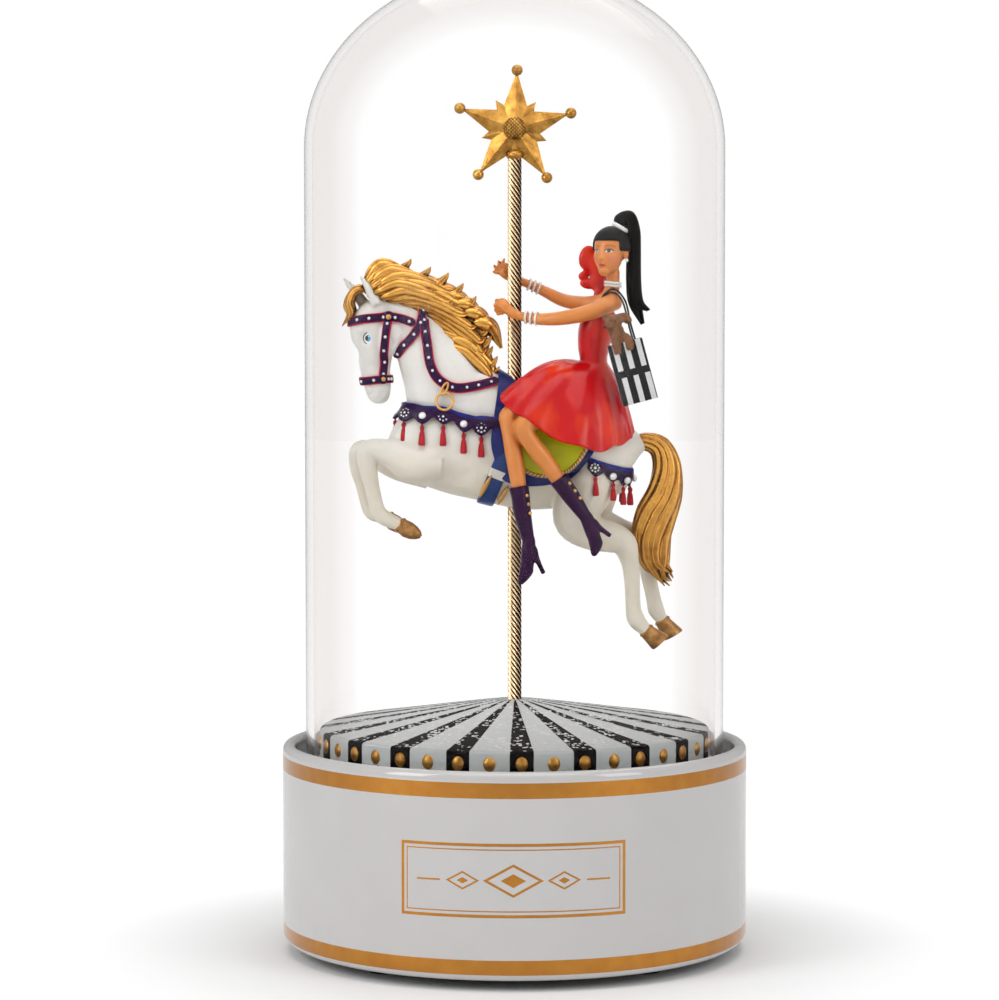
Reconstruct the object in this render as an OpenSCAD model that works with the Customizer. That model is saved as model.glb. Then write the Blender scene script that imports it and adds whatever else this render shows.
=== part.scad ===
// Carousel music box: a glazed ceramic drum holding a wind-up movement, whose spring barrel
// turns a striped canopy, a twisted brass pole and a jumping horse with its rider under a
// glass dome. Millimetres, +Z up, origin at the middle of the face that the feet stand on.

/* [Base] */
// Gap between the dome and the drum's rim
rim_gap = 2.6; // [2:0.1:4]
// Height of the drum's rim above the table
rim_z = 54; // [52:0.5:56]
// Thickness of the drum's wall
base_wall = 4.5; // [3.5:0.5:6]
// Thickness of the deck that carries the dome
deck_t = 4; // [3:0.5:5]
// Depth of the rim above the deck
rim_depth = 6; // [5:0.5:8]
// Thickness of the rim's lip
lip_t = 3.4; // [3:0.2:4]
// Height of the rubber feet that shows below the drum
foot_gap = 2.5; // [1.5:0.5:4]
// Diameter of a rubber foot
foot_d = 9; // [6:0.5:11]
// Distance of the feet's centres from the drum's inner wall
foot_inset = 9.5; // [8:0.5:14]

/* [Dome] */
// Outer diameter of the glass dome
dome_d = 108; // [107:0.5:109]
// Thickness of the glass
glass_t = 2; // [1.5:0.25:2.5]
// Overall height from the table to the top of the dome
total_h = 253; // [246:1:275]
// Height of the dome's rounded crown
crown_h = 46; // [40:1:54]
// How far the dome lifts off
dome_lift = 205; // [200:5:260]

/* [Turntable] */
// Gap between the canopy's side wall and the glass, where the studs stand
canopy_gap = 1.5; // [1.2:0.1:4]
// Height of the canopy's side wall
canopy_wall_h = 7; // [6:0.5:9]
// Rise of the canopy's cone from its edge to the pole
canopy_rise = 7; // [5:0.5:12]
// Thickness of the canopy's shell
canopy_t = 3; // [2:0.5:4]
// Number of gold studs round the edge
stud_count = 40; // [20:2:44]
// Width of a stud
stud_w = 3; // [2:0.2:3.4]

/* [Pole and star] */
// Diameter of the brass pole
pole_d = 3.6; // [3:0.1:4.2]
// Height of the star's centre above the table
star_z = 212; // [206:1:222]
// Radius from the star's centre to the balls on its points
star_r = 15.1; // [12:0.1:17]
// Thickness of the star at its centre
star_t = 4.4; // [3.6:0.2:6]

/* [Figure] */
// Height of the horse's barrel above the table
horse_z = 125; // [118:1:127]
// Thickness of the horse's straps
strap_t = 0.8; // [0.5:0.1:1.1]
// Width of the head straps and the collar
strap_w = 2.3; // [1.6:0.1:3]
// Thickness of the saddle cloth
cloth_t = 1; // [0.6:0.1:1.4]
// Thickness of the saddle over the cloth
saddle_t = 1.2; // [0.8:0.1:1.6]
// Width of the shopping bag
bag_w = 9.1; // [8:0.1:10]
// Height of the shopping bag
bag_h = 15.8; // [14:0.2:17]
// Depth of the shopping bag
bag_d = 3.6; // [3:0.1:4]

/* [Movement] */
// Radius of the mainspring barrel
barrel_r = 9.5; // [8:0.25:9.6]
// Height of the mainspring barrel
barrel_h = 11; // [9:0.5:11]
// Teeth on the barrel's crown gear
crown_teeth = 32; // [30:1:34]
// Teeth on the pinion that the crown gear drives
pinion_teeth = 10; // [9:1:10]
// Size of a crown gear tooth, as pitch diameter over teeth
crown_module = 0.75; // [0.72:0.01:0.76]
// Radius of the tune cylinder
drum_r = 6.5; // [5:0.25:6.5]
// Length of the tune cylinder
drum_len = 20; // [18:0.5:20]
// Notes on the comb
note_count = 18; // [12:1:18]
// Teeth on the wheel at the cylinder's far end
wheel_teeth = 26; // [24:1:26]
// Teeth on the governor's pinion
gov_pinion_teeth = 8; // [8:1:9]
// Size of a governor gear tooth
gov_module = 0.5; // [0.48:0.01:0.5]
// Teeth on the worm wheel
worm_wheel_teeth = 18; // [16:1:18]
// Radius of the winding arbor
arbor_r = 1.5; // [1.2:0.05:1.6]
// Radius of the output shaft
shaft_r = 1.6; // [1.4:0.05:1.8]
// Width of the winding key across its wings
key_w = 24; // [18:1:28]

/* [Hidden] */
$fn = 48;

eps = 0.01;                 // overlap that makes a union or a cut clean
run_gap = 0.05;             // radial clearance of a turning shaft in its bore
slip = 0.3;                 // clearance between parts that only sit together

// Base
base_d = dome_d + 2 * (rim_gap + lip_t);  // outer diameter of the drum
base_r = base_d / 2;
shell_bottom = foot_gap;
deck_z = rim_z - rim_depth;             // top of the deck
rim_in_r = base_r - lip_t;
cover_recess_h = 3.5;
cover_t = 2.8;
ledge_z = shell_bottom + cover_recess_h; // where the cover rests on the shell's bosses
cavity_r = base_r - base_wall;
cover_r = cavity_r - slip;
foot_circle_r = cavity_r - foot_inset;
cover_bottom = ledge_z - cover_t;
corner_r = 3;                           // rounding of the drum's outer bottom edge
cover_boss_r = 4;
cover_boss_h = 14;
cover_screw_r = cavity_r - 3;
cover_screw_d = 2;
cover_screw_len = 6;
cover_screw_angles = [0, 120, 240];
bush_r = 4;
bush_flange_r = 6;
bush_flange_t = 1.2;
grip_gap = 0.02;                        // radial clearance of a part fixed on a shaft

// Stack of the movement, from the cover upwards
well_r = 17;                            // recess that hides the key
well_wall = 2;
well_z = ledge_z + 6;                   // underside of the well's ceiling
bed_z = well_z + 2;                     // top of the well, where the bedplate rests
bed_t = 2.5;
bed_top = bed_z + bed_t;
barrel_boss_h = 1;
barrel_z = bed_top + barrel_boss_h;     // bottom of the barrel, on the bedplate's boss
barrel_top = barrel_z + barrel_h;
crown_z = barrel_top;                   // underside of the crown gear's rim
crown_pitch_r = crown_teeth * crown_module / 2;
pinion_pitch_r = pinion_teeth * crown_module / 2;
addendum = 0.62;                        // tooth height above the pitch line
dedendum = 0.95;                        // tooth depth below it
drum_z = crown_z - dedendum - pinion_pitch_r; // height of the cylinder's axis
crown_face = 2.8;                       // length of a crown tooth
crown_rim_r = crown_pitch_r + crown_face / 2 + 0.3;
crown_rim_t = 1.2;
cap_z = crown_z + crown_rim_t;          // top of the barrel's cap

// Lengthwise stations of the cylinder and the governor train
pinion_x = crown_pitch_r - crown_face / 2 + 0.2;
pinion_len = crown_face - 0.4;
left_post_x = pinion_x + pinion_len + 0.4;
post_t = 1;
drum_x = left_post_x + post_t + 0.6;
wheel_x = drum_x + drum_len + 1;
wheel_t = 1.5;
bracket_x = wheel_x + wheel_t + 1;
bracket_t = 1.5;
worm_wheel_x = bracket_x + bracket_t + 1.2;
worm_wheel_t = 1.5;
far_bracket_x = worm_wheel_x + worm_wheel_t + 1.4;
drum_arbor_r = 1;
gov_arbor_r = 0.8;
wheel_pitch_r = wheel_teeth * gov_module / 2;
gov_pinion_pitch_r = gov_pinion_teeth * gov_module / 2;
gov_gap = 0.15;                         // extra distance between the governor's gears
gov_y = wheel_pitch_r + gov_pinion_pitch_r + gov_gap;
worm_lead = 2;                          // rise of the worm in one turn
worm_wheel_pitch_r = worm_wheel_teeth * worm_lead / 2 / PI;
worm_r = 1.5;
worm_y = gov_y + worm_wheel_pitch_r + worm_r + 0.35;
worm_x = worm_wheel_x + worm_wheel_t / 2;
worm_top = drum_z + 8;
comb_tip_gap = 0.15;
pin_h = 0.5;
comb_t = 0.9;
comb_tip_y = -(drum_r + pin_h + comb_tip_gap);
comb_root_y = comb_tip_y - 9;
comb_back_y = comb_root_y - 7;
comb_x0 = drum_x;

// Turntable
hub_z = deck_z + 2.2;                   // underside of the hub
hub_boss_r = 5;
hub_flange_r = 15;
hub_h = 6.6;
hub_flange_t = 2;
canopy_d = dome_d - 2 * (glass_t + canopy_gap); // over the side wall
canopy_r = canopy_d / 2;
stripe_turn = 2;                        // how far the stripes are turned from the front
canopy_bottom = deck_z + 3;
canopy_edge_z = canopy_bottom + canopy_wall_h;
canopy_apex_z = canopy_edge_z + canopy_rise;
hub_top = hub_z + hub_h;
stud_out = 0.6;
shaft_top = hub_z + 3.6;

// Dome
dome_r = dome_d / 2;
seal_t = 1;
dome_bottom = deck_z + seal_t;
crown_base_z = total_h - crown_h;

pole_r = pole_d / 2;
pole_top = star_z - star_r / 2;
pole_bottom = shaft_top + 0.6;

well_screw_x = -8;
movement_screw_d = 2.4;
post_boss_x = 38;
post_boss_y = 13;
post_boss_r = 3.5;
clutch_wire_r = 0.35;
clutch_seat_r = arbor_r + run_gap + 2 * clutch_wire_r + grip_gap;
bed_x0 = -15;
bed_x1 = 47;
bed_y0 = comb_back_y - 1.5;
bed_y1 = worm_y + 4;
wall_room = 1.5;                        // room between the bedplate and the drum's wall
comb_z = drum_z - comb_t / 2;
comb_screw_d = 2;
key_z = 1.2;
key_h = 8.8;
key_t = 2.4;
key_hub_h = well_z - key_z - 0.6;
barrel_floor = 1.2;
barrel_wall = 0.8;
arbor_core_r = arbor_r + 0.7;
leaf_t = 0.3;
leaf_turns = 5;
crown_blade = 0.7;
pinion_phase = 180 + 180 / pinion_teeth;         // a gap faces up, where a crown tooth stands
wheel_phase = 90;                                // a tooth faces the governor's pinion
gov_phase = 270 + 180 / gov_pinion_teeth;        // a gap faces the wheel
worm_wheel_phase = 90;                           // a blade faces the worm
worm_turns = 3;
worm_phase = 90 - 180 * worm_turns;              // the groove faces the blade at mid height
worm_blade = 0.5;
worm_throw = 0.35;
worm_tip_r = worm_wheel_pitch_r + 0.8;
gov_addendum = 0.4;
gov_dedendum = 0.62;
fan_r = 6.5;
hub_screw_d = 2;
star_notch_r = 5.8;
star_ray_r = 8.6;
star_boss_r = 3;
star_lean = 2.5;
ball_r = 1.45;

// Horse's ring, which hangs from a loop on the collar
ring_r = 2;
ring_wire_r = 0.35;
ring_seat = [-18, -8.6, 18];            // centre of the ring
bag_lean = -15;                         // how far the bag leans back in the side view
bag_wall = 0.5;

// ---------------------------------------------------------------- helpers

function unit(v) = v / norm(v);

// Value between a and b on a Catmull-Rom curve through p, a, b and q
function spline(p, a, b, q, t) =
  0.5 * ((2 * a) + (b - p) * t + (2 * p - 5 * a + 4 * b - q) * t * t + (3 * a - p - 3 * b + q) * t * t * t);

// More stations on the smooth curve through the given ones
function smooth(s, steps = 3) = [
  for (i = [0 : len(s) - 2]) for (k = [0 : steps - 1])
    spline(s[max(i - 1, 0)], s[i], s[i + 1], s[min(i + 2, len(s) - 1)], k / steps),
  s[len(s) - 1]];

function centre_of(s) = [s[0], s[1], s[2]];

function heading(s, i) =
  unit(centre_of(s[min(i + 1, len(s) - 1)]) - centre_of(s[max(i - 1, 0)]));

// One oval ring square to the path: half width s[3] across, half depth s[4] in the side view
function ring(s, i, sides) =
  let (t = heading(s, i),
       across = unit([0, 1, 0] - t * t[1]),
       deep = cross(t, across))
  [for (k = [0 : sides - 1])
    centre_of(s[i]) + across * s[i][3] * cos(360 * k / sides) + deep * s[i][4] * sin(360 * k / sides)];

// Closed solid through stations [x, y, z, half width, half depth]
module loft(stations, sides = 10, steps = 2) {
  s = smooth(stations, steps);
  rings = len(s);
  points = concat([centre_of(s[0])], [for (i = [0 : rings - 1]) each ring(s, i, sides)],
                  [centre_of(s[rings - 1])]);
  last = rings * sides + 1;
  faces = concat(
    [for (k = [0 : sides - 1]) [0, 1 + k, 1 + (k + 1) % sides]],
    [for (i = [0 : rings - 2]) for (k = [0 : sides - 1])
      let (a = 1 + i * sides + k, b = 1 + i * sides + (k + 1) % sides) [a, a + sides, b + sides, b]],
    [for (k = [0 : sides - 1]) [last, last - sides + (k + 1) % sides, last - sides + k]]);
  polyhedron(points, faces);
}

// Ball-ended rod between two points
module rod(a, b, ra, rb, sides = 8) {
  hull() {
    translate(a) sphere(ra, $fn = sides);
    translate(b) sphere(rb, $fn = sides);
  }
}

// Chain of ball-ended rods through points [x, y, z, radius]
module chain(p, sides = 8) {
  for (i = [0 : len(p) - 2])
    rod(centre_of(p[i]), centre_of(p[i + 1]), p[i][3], p[i + 1][3], sides);
}

// Moves the horse and all it carries to its height on the pole
module on_pole() {
  translate([0, 0, horse_z]) children();
}

// Wood-screw with a domed head; its tip points along +Z from the head's underside
module screw(head_d, shank_d, len) {
  translate([0, 0, -0.9]) difference() {
    cylinder(d = head_d, h = 0.9);
    translate([-head_d, -0.2, -eps]) cube([2 * head_d, 0.4, 0.4]);
  }
  cylinder(d = shank_d, h = len);
}

// ---------------------------------------------------------------- base

// Ceramic drum: rounded foot, plain wall, a deck for the dome and a rounded rim round it
module base_shell() {
  color("white") difference() {
    union() {
      rotate_extrude() difference() {
        union() {
          translate([0, shell_bottom + corner_r]) square([base_r, rim_z - lip_t / 2 - shell_bottom - corner_r]);
          translate([0, shell_bottom]) square([base_r - corner_r, corner_r + eps]);
          translate([base_r - corner_r, shell_bottom + corner_r]) circle(corner_r);
          translate([base_r - lip_t / 2, rim_z - lip_t / 2]) circle(lip_t / 2);
        }
        translate([-eps, deck_z]) square([rim_in_r + eps, rim_depth + 1]);
        translate([-eps, shell_bottom - 1]) square([cavity_r + eps, deck_z - deck_t - shell_bottom + 1]);
      }
      for (a = cover_screw_angles) rotate(a) intersection() {
        translate([cover_screw_r, 0, ledge_z]) cylinder(r = cover_boss_r, h = cover_boss_h);
        cylinder(r = cavity_r + eps, h = deck_z);
      }
    }
    translate([0, 0, deck_z - deck_t - 1]) cylinder(r = bush_r + grip_gap, h = deck_t + 2);
    for (a = cover_screw_angles) rotate(a) translate([cover_screw_r, 0, ledge_z - 1])
      cylinder(d = cover_screw_d + 2 * grip_gap, h = cover_screw_len);
  }
}

module deck_bush() {
  color("goldenrod") difference() {
    union() {
      translate([0, 0, deck_z - deck_t]) cylinder(r = bush_r, h = deck_t);
      translate([0, 0, deck_z - deck_t - bush_flange_t]) cylinder(r = bush_flange_r, h = bush_flange_t);
    }
    translate([0, 0, deck_z - deck_t - bush_flange_t - 1]) cylinder(r = shaft_r + run_gap, h = deck_t + 4);
  }
}

module thrust_washer() {
  color("ivory") translate([0, 0, deck_z]) difference() {
    cylinder(r = hub_boss_r, h = hub_z - deck_z - run_gap);
    translate([0, 0, -1]) cylinder(r = shaft_r + run_gap, h = hub_z - deck_z + 2);
  }
}

module at_cover_screws() {
  for (a = cover_screw_angles) rotate(a) translate([cover_screw_r, 0, 0]) children();
}

module at_posts() {
  for (y = [-post_boss_y, post_boss_y]) translate([post_boss_x, y, 0]) children();
}

// Cover with the recess for the key, whose ceiling carries the movement, and two posts
module bottom_cover() {
  color("dimgray") difference() {
    union() {
      translate([0, 0, cover_bottom]) cylinder(r = cover_r, h = cover_t);
      translate([0, 0, cover_bottom]) cylinder(r = well_r + well_wall, h = bed_z - cover_bottom);
      at_posts() translate([0, 0, cover_bottom]) cylinder(r = post_boss_r, h = bed_z - cover_bottom);
    }
    translate([0, 0, cover_bottom - 1]) cylinder(r = well_r, h = well_z - cover_bottom + 1);
    translate([0, 0, well_z - 1]) cylinder(r = clutch_seat_r, h = bed_z - well_z + 2);
    translate([well_screw_x, 0, well_z - 1]) cylinder(d = movement_screw_d + 2 * run_gap, h = bed_z - well_z + 2);
    at_posts() cylinder(d = movement_screw_d + 2 * run_gap, h = bed_z + 1);
    at_cover_screws() cylinder(d = cover_screw_d + 2 * run_gap, h = ledge_z + 1);
  }
}

module rubber_feet() {
  color("black") for (a = [45 : 90 : 315]) rotate(a) translate([foot_circle_r, 0, 0]) {
    cylinder(d1 = foot_d - 1, d2 = foot_d, h = 1);
    translate([0, 0, 1]) cylinder(d = foot_d, h = cover_bottom - 1);
  }
}

module cover_screws() {
  color("silver") at_cover_screws() translate([0, 0, cover_bottom])
    screw(cover_screw_d + 2, cover_screw_d, cover_screw_len - 1);
}

module movement_screws() {
  color("silver") {
    translate([well_screw_x, 0, well_z]) screw(movement_screw_d + 2, movement_screw_d, bed_top - well_z - 0.5);
    at_posts() translate([0, 0, cover_bottom])
      screw(movement_screw_d + 2, movement_screw_d, bed_top - cover_bottom - 0.5);
  }
}

module dome_seal() {
  color("white") translate([0, 0, deck_z]) difference() {
    cylinder(r = dome_r + 0.6, h = seal_t);
    translate([0, 0, -1]) cylinder(r = dome_r - glass_t - 0.6, h = seal_t + 2);
  }
}

// Half section of the glass: a straight wall under an oval crown
module dome_outline() {
  inner_r = dome_r - glass_t;
  inner_h = crown_h - glass_t;
  polygon(concat(
    [[dome_r, dome_bottom]],
    [for (a = [0 : 5 : 90]) [dome_r * cos(a), crown_base_z + crown_h * sin(a)]],
    [for (a = [90 : -5 : 0]) [inner_r * cos(a), crown_base_z + inner_h * sin(a)]],
    [[inner_r, dome_bottom]]));
}

module glass_dome() {
  color("white", 0.25) rotate_extrude() dome_outline();
}

// ---------------------------------------------------------------- movement

// Turns a part made along +Z so that it runs along +X at the height of the cylinder
module along_x(x, y = 0) {
  translate([x, y, drum_z]) rotate([0, 90, 0]) children();
}

// Spur gear with straight-flanked teeth, standing on z = 0
module gear(teeth, module_mm, add, ded, t, bore) {
  pitch_r = teeth * module_mm / 2;
  root_half = 0.26 * 360 / teeth;
  tip_half = 0.11 * 360 / teeth;
  difference() {
    linear_extrude(t) polygon([for (i = [0 : teeth - 1]) let (a = 360 * i / teeth) each [
      polar(pitch_r - ded, a - root_half), polar(pitch_r + add, a - tip_half),
      polar(pitch_r + add, a + tip_half), polar(pitch_r - ded, a + root_half)]]);
    translate([0, 0, -1]) cylinder(r = bore, h = t + 2);
  }
}

function polar(r, a) = [r * cos(a), r * sin(a)];

module bedplate() {
  color("goldenrod") difference() {
    union() {
      intersection() {
        translate([bed_x0, bed_y0, bed_z]) cube([bed_x1 - bed_x0, bed_y1 - bed_y0, bed_t]);
        cylinder(r = cavity_r - wall_room, h = deck_z);
      }
      translate([0, 0, bed_top]) cylinder(r = arbor_r + 2, h = barrel_boss_h - run_gap);
    }
    translate([0, 0, bed_z - 1]) cylinder(r = arbor_r + run_gap, h = bed_t + barrel_boss_h + 2);
    translate([worm_x, worm_y, bed_z + 0.8]) cylinder(r = gov_arbor_r + run_gap, h = bed_t);
    translate([well_screw_x, 0, bed_z - 1]) cylinder(d = movement_screw_d + 2 * grip_gap, h = bed_t + 1.2);
    at_posts() translate([0, 0, bed_z - 1]) cylinder(d = movement_screw_d + 2 * grip_gap, h = bed_t + 1.2);
  }
}

module comb_block() {
  color("goldenrod") difference() {
    translate([comb_x0, comb_back_y, bed_top]) cube([drum_len, comb_root_y - comb_back_y - 1, comb_z - bed_top]);
    at_comb_screws() translate([0, 0, -6]) cylinder(d = comb_screw_d + 2 * grip_gap, h = 8);
  }
}

module at_comb_screws() {
  for (k = [1, 3, 5]) translate([comb_x0 + k * drum_len / 6, comb_back_y + 3, comb_z]) children();
}

// Steel comb: one tongue for each note, cut from a plate that is screwed down at the back
module comb() {
  pitch = drum_len / note_count;
  color("silver") difference() {
    translate([comb_x0, 0, comb_z]) linear_extrude(comb_t) union() {
      translate([0, comb_back_y]) square([drum_len, comb_root_y - comb_back_y]);
      for (i = [0 : note_count - 1]) translate([(i + 0.16) * pitch, comb_root_y - eps])
        square([0.68 * pitch, comb_tip_y - comb_root_y + eps]);
    }
    at_comb_screws() translate([0, 0, -1]) cylinder(d = comb_screw_d + 2 * run_gap, h = comb_t + 2);
  }
}

module comb_screws() {
  color("silver") at_comb_screws() translate([0, 0, comb_t]) mirror([0, 0, 1])
    screw(comb_screw_d + 2, comb_screw_d, comb_t + 5);
}

// Post beside the barrel that carries the near end of the cylinder's arbor
module left_bearing() {
  color("goldenrod") difference() {
    union() {
      translate([left_post_x, -2.5, bed_top]) cube([post_t, 5, drum_z + 2.2 - bed_top]);
      translate([left_post_x - 2.2, -2.5, bed_top]) cube([2.2 + eps, 5, 1]);
    }
    along_x(left_post_x - 1) cylinder(r = drum_arbor_r + run_gap, h = post_t + 2);
  }
}

// Plate that carries the far end of the cylinder's arbor and the near end of the governor's
module gear_bracket() {
  color("goldenrod") difference() {
    union() {
      translate([bracket_x, -4, bed_top]) cube([bracket_t, gov_y + 7, drum_z + 4 - bed_top]);
      translate([bracket_x, -4, bed_top]) cube([bracket_t + 3, 5, 1.5]);
    }
    along_x(bracket_x - 1) cylinder(r = drum_arbor_r + run_gap, h = bracket_t + 2);
    along_x(bracket_x - 1, gov_y) cylinder(r = gov_arbor_r + run_gap, h = bracket_t + 2);
  }
}

// Outer plate with the arm that holds the worm upright under the air brake
module governor_bracket() {
  color("goldenrod") difference() {
    union() {
      translate([far_bracket_x, gov_y - 3, bed_top]) cube([bracket_t, worm_y - gov_y + 5.5, worm_top - bed_top]);
      translate([worm_x - 2.5, worm_y - 2.5, worm_top - bracket_t])
        cube([far_bracket_x - worm_x + 2.5 + eps, 5, bracket_t]);
    }
    along_x(far_bracket_x - 1, gov_y) cylinder(r = gov_arbor_r + run_gap, h = bracket_t + 2);
    translate([worm_x, worm_y, worm_top - bracket_t - 1]) cylinder(r = gov_arbor_r + run_gap, h = bracket_t + 2);
  }
}

// One-way spring wound on the winding arbor, seated in the cover
module clutch_spring() {
  color("silver") for (k = [0 : 2]) translate([0, 0, well_z + clutch_wire_r + 0.1 + k * 1.6 * clutch_wire_r])
    rotate_extrude() translate([clutch_seat_r - clutch_wire_r - grip_gap, 0]) circle(clutch_wire_r, $fn = 16);
}

module winding_arbor() {
  color("silver") {
    translate([0, 0, key_z]) cylinder(r = arbor_r, h = barrel_top - 1 - key_z);
    translate([0, 0, barrel_z + barrel_floor + slip])
      cylinder(r = arbor_core_r, h = barrel_h - barrel_floor - 2 * slip - 1);
  }
}

// Butterfly key: two looped wings on a hub that takes the arbor's end
module winding_key() {
  wing_r = key_h / 2;
  color("silver") difference() {
    union() {
      translate([0, 0, key_z]) cylinder(r = arbor_r + 1.6, h = key_hub_h);
      translate([0, key_t / 2, key_z + wing_r]) rotate([90, 0, 0]) linear_extrude(key_t) difference() {
        union() {
          for (s = [-1, 1]) translate([s * (key_w / 2 - wing_r), 0]) circle(wing_r);
          square([key_w - 2 * wing_r, wing_r], center = true);
        }
        for (s = [-1, 1]) translate([s * (key_w / 2 - wing_r), 0]) circle(wing_r - 1.6);
      }
    }
    translate([0, 0, key_z + 1]) cylinder(r = arbor_r + grip_gap, h = key_hub_h);
    translate([0, 0, key_z - 1]) cylinder(r = arbor_r + grip_gap, h = 3);
  }
}

// Thin drum, open at its far end, set with rows of steel pins
module tune_cylinder() {
  pitch = drum_len / note_count;
  color("goldenrod") along_x(drum_x) difference() {
    union() {
      cylinder(r = drum_r, h = drum_len);
      for (i = [0 : note_count - 1]) for (k = [0 : 2])
        rotate([0, 0, pin_phase(i) + k * 120]) translate([drum_r - eps, 0, (i + 0.5) * pitch])
          rotate([0, 90, 0]) cylinder(r = 0.18, h = pin_h, $fn = 6);
    }
    translate([0, 0, 1]) cylinder(r = drum_r - 0.8, h = drum_len);
    translate([0, 0, -1]) cylinder(r = drum_arbor_r + grip_gap, h = 3);
  }
}

// Angle of a note's first pin, spread so that neighbours never sound together
function pin_phase(i) = (i * 77) % 120 + 20;

module cylinder_arbor() {
  color("silver") along_x(pinion_x - 0.4) cylinder(r = drum_arbor_r, h = bracket_x + bracket_t + 0.8 - pinion_x + 0.4);
}

module crown_pinion() {
  color("goldenrod") along_x(pinion_x) rotate(pinion_phase)
    gear(pinion_teeth, crown_module, addendum, dedendum, pinion_len, drum_arbor_r + grip_gap);
}

module cylinder_wheel() {
  color("goldenrod") along_x(wheel_x) rotate(wheel_phase)
    gear(wheel_teeth, gov_module, gov_addendum, gov_dedendum, wheel_t, drum_arbor_r + grip_gap);
}

module governor_arbor() {
  color("silver") along_x(wheel_x - 0.5, gov_y)
    cylinder(r = gov_arbor_r, h = far_bracket_x + bracket_t + 0.4 - wheel_x + 0.5);
}

module governor_pinion() {
  color("silver") along_x(wheel_x, gov_y) rotate(gov_phase)
    gear(gov_pinion_teeth, gov_module, gov_addendum, gov_dedendum, wheel_t, gov_arbor_r + grip_gap);
}

module worm_wheel() {
  color("goldenrod") along_x(worm_wheel_x, gov_y) rotate(worm_wheel_phase)
    worm_gear();
}

// Wheel whose thin blades run in the worm's groove
module worm_gear() {
  difference() {
    union() {
      cylinder(r = worm_tip_r - 1.1, h = worm_wheel_t);
      for (i = [0 : worm_wheel_teeth - 1]) rotate(360 * i / worm_wheel_teeth)
        translate([worm_tip_r - 1.4, -worm_blade / 2, 0]) cube([1.4, worm_blade, worm_wheel_t]);
    }
    translate([0, 0, -1]) cylinder(r = gov_arbor_r + grip_gap, h = worm_wheel_t + 2);
  }
}

// Upright shaft with a single-start worm: an off-centre round bar twisted along its length
module worm_shaft() {
  worm_len = worm_turns * worm_lead;
  worm_z = drum_z - worm_len / 2;
  color("silver") translate([worm_x, worm_y, 0]) {
    translate([0, 0, bed_z + 0.9]) cylinder(r = gov_arbor_r, h = worm_z - bed_z - 0.9);
    translate([0, 0, worm_z]) rotate(worm_phase) linear_extrude(worm_len, twist = -360 * worm_turns, slices = 12 * worm_turns, $fn = 12)
      translate([worm_throw, 0]) circle(worm_r - worm_throw);
    translate([0, 0, worm_z + worm_len]) cylinder(r = gov_arbor_r, h = worm_top + 7 - worm_z - worm_len);
  }
}

// Two-bladed fan whose drag sets the speed
module air_brake() {
  color("silver") translate([worm_x, worm_y, worm_top + 1]) difference() {
    union() {
      cylinder(r = 1.8, h = 5);
      translate([-fan_r, -0.3, 0]) cube([2 * fan_r, 0.6, 5]);
    }
    translate([0, 0, -1]) cylinder(r = gov_arbor_r + grip_gap, h = 7);
  }
}

module mainspring_barrel() {
  color("goldenrod") translate([0, 0, barrel_z]) difference() {
    cylinder(r = barrel_r, h = barrel_h);
    translate([0, 0, barrel_floor]) cylinder(r = barrel_r - barrel_wall, h = barrel_h);
    translate([0, 0, -1]) cylinder(r = arbor_r + run_gap, h = barrel_floor + 2);
  }
}

// Lid of the barrel, whose rim is a crown gear with its teeth downwards
module barrel_cap() {
  color("goldenrod") difference() {
    union() {
      translate([0, 0, crown_z]) cylinder(r = crown_rim_r, h = crown_rim_t);
      translate([0, 0, crown_z - 0.8]) cylinder(r = barrel_r - barrel_wall - grip_gap, h = 0.8 + eps);
      for (i = [0 : crown_teeth - 1]) rotate(360 * i / crown_teeth)
        translate([crown_pitch_r - crown_face / 2, -crown_blade / 2, crown_z - addendum - dedendum + 0.1])
          cube([crown_face, crown_blade, addendum + dedendum]);
    }
    translate([0, 0, crown_z - 1]) cylinder(r = arbor_r + run_gap, h = 1);
  }
}

// Spiral leaf spring, its turns drawn out evenly between the arbor and the barrel's wall
module mainspring() {
  inner_r = arbor_core_r + slip;
  outer_r = barrel_r - barrel_wall - leaf_t - 0.02;
  steps = 16 * leaf_turns;
  function leaf(i, extra) = polar(inner_r + (outer_r - inner_r) * i / steps + extra, 22.5 * i);
  color("steelblue") translate([0, 0, barrel_z + barrel_floor + slip])
    linear_extrude(barrel_h - barrel_floor - 0.8 - 2 * slip) polygon(concat(
      [for (i = [0 : steps]) leaf(i, 0)], [for (i = [steps : -1 : 0]) leaf(i, leaf_t)]));
}

module drive_shaft() {
  color("silver") {
    translate([0, 0, cap_z]) cylinder(r = shaft_r, h = shaft_top - cap_z);
    translate([0, 0, cap_z]) cylinder(r = 5, h = 1.5);
  }
}

// ---------------------------------------------------------------- turntable

module turntable_hub() {
  color("silver") difference() {
    union() {
      translate([0, 0, hub_z]) cylinder(r = hub_boss_r, h = hub_h);
      translate([0, 0, hub_top - hub_flange_t]) cylinder(r = hub_flange_r, h = hub_flange_t);
    }
    translate([0, 0, hub_z - 1]) cylinder(r = shaft_r + grip_gap, h = shaft_top - hub_z + 1);
    translate([0, 0, shaft_top - eps]) cylinder(r = pole_r + grip_gap, h = hub_top);
    at_hub_screws() translate([0, 0, -1]) cylinder(d = hub_screw_d + 2 * grip_gap, h = hub_flange_t + 2);
  }
}

module at_hub_screws() {
  for (a = [0 : 120 : 240]) rotate(a) translate([hub_flange_r - 4, 0, hub_top - hub_flange_t]) children();
}

module hub_screws() {
  color("silver") at_hub_screws() screw(hub_screw_d + 2, hub_screw_d, hub_flange_t + 3);
}

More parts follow.
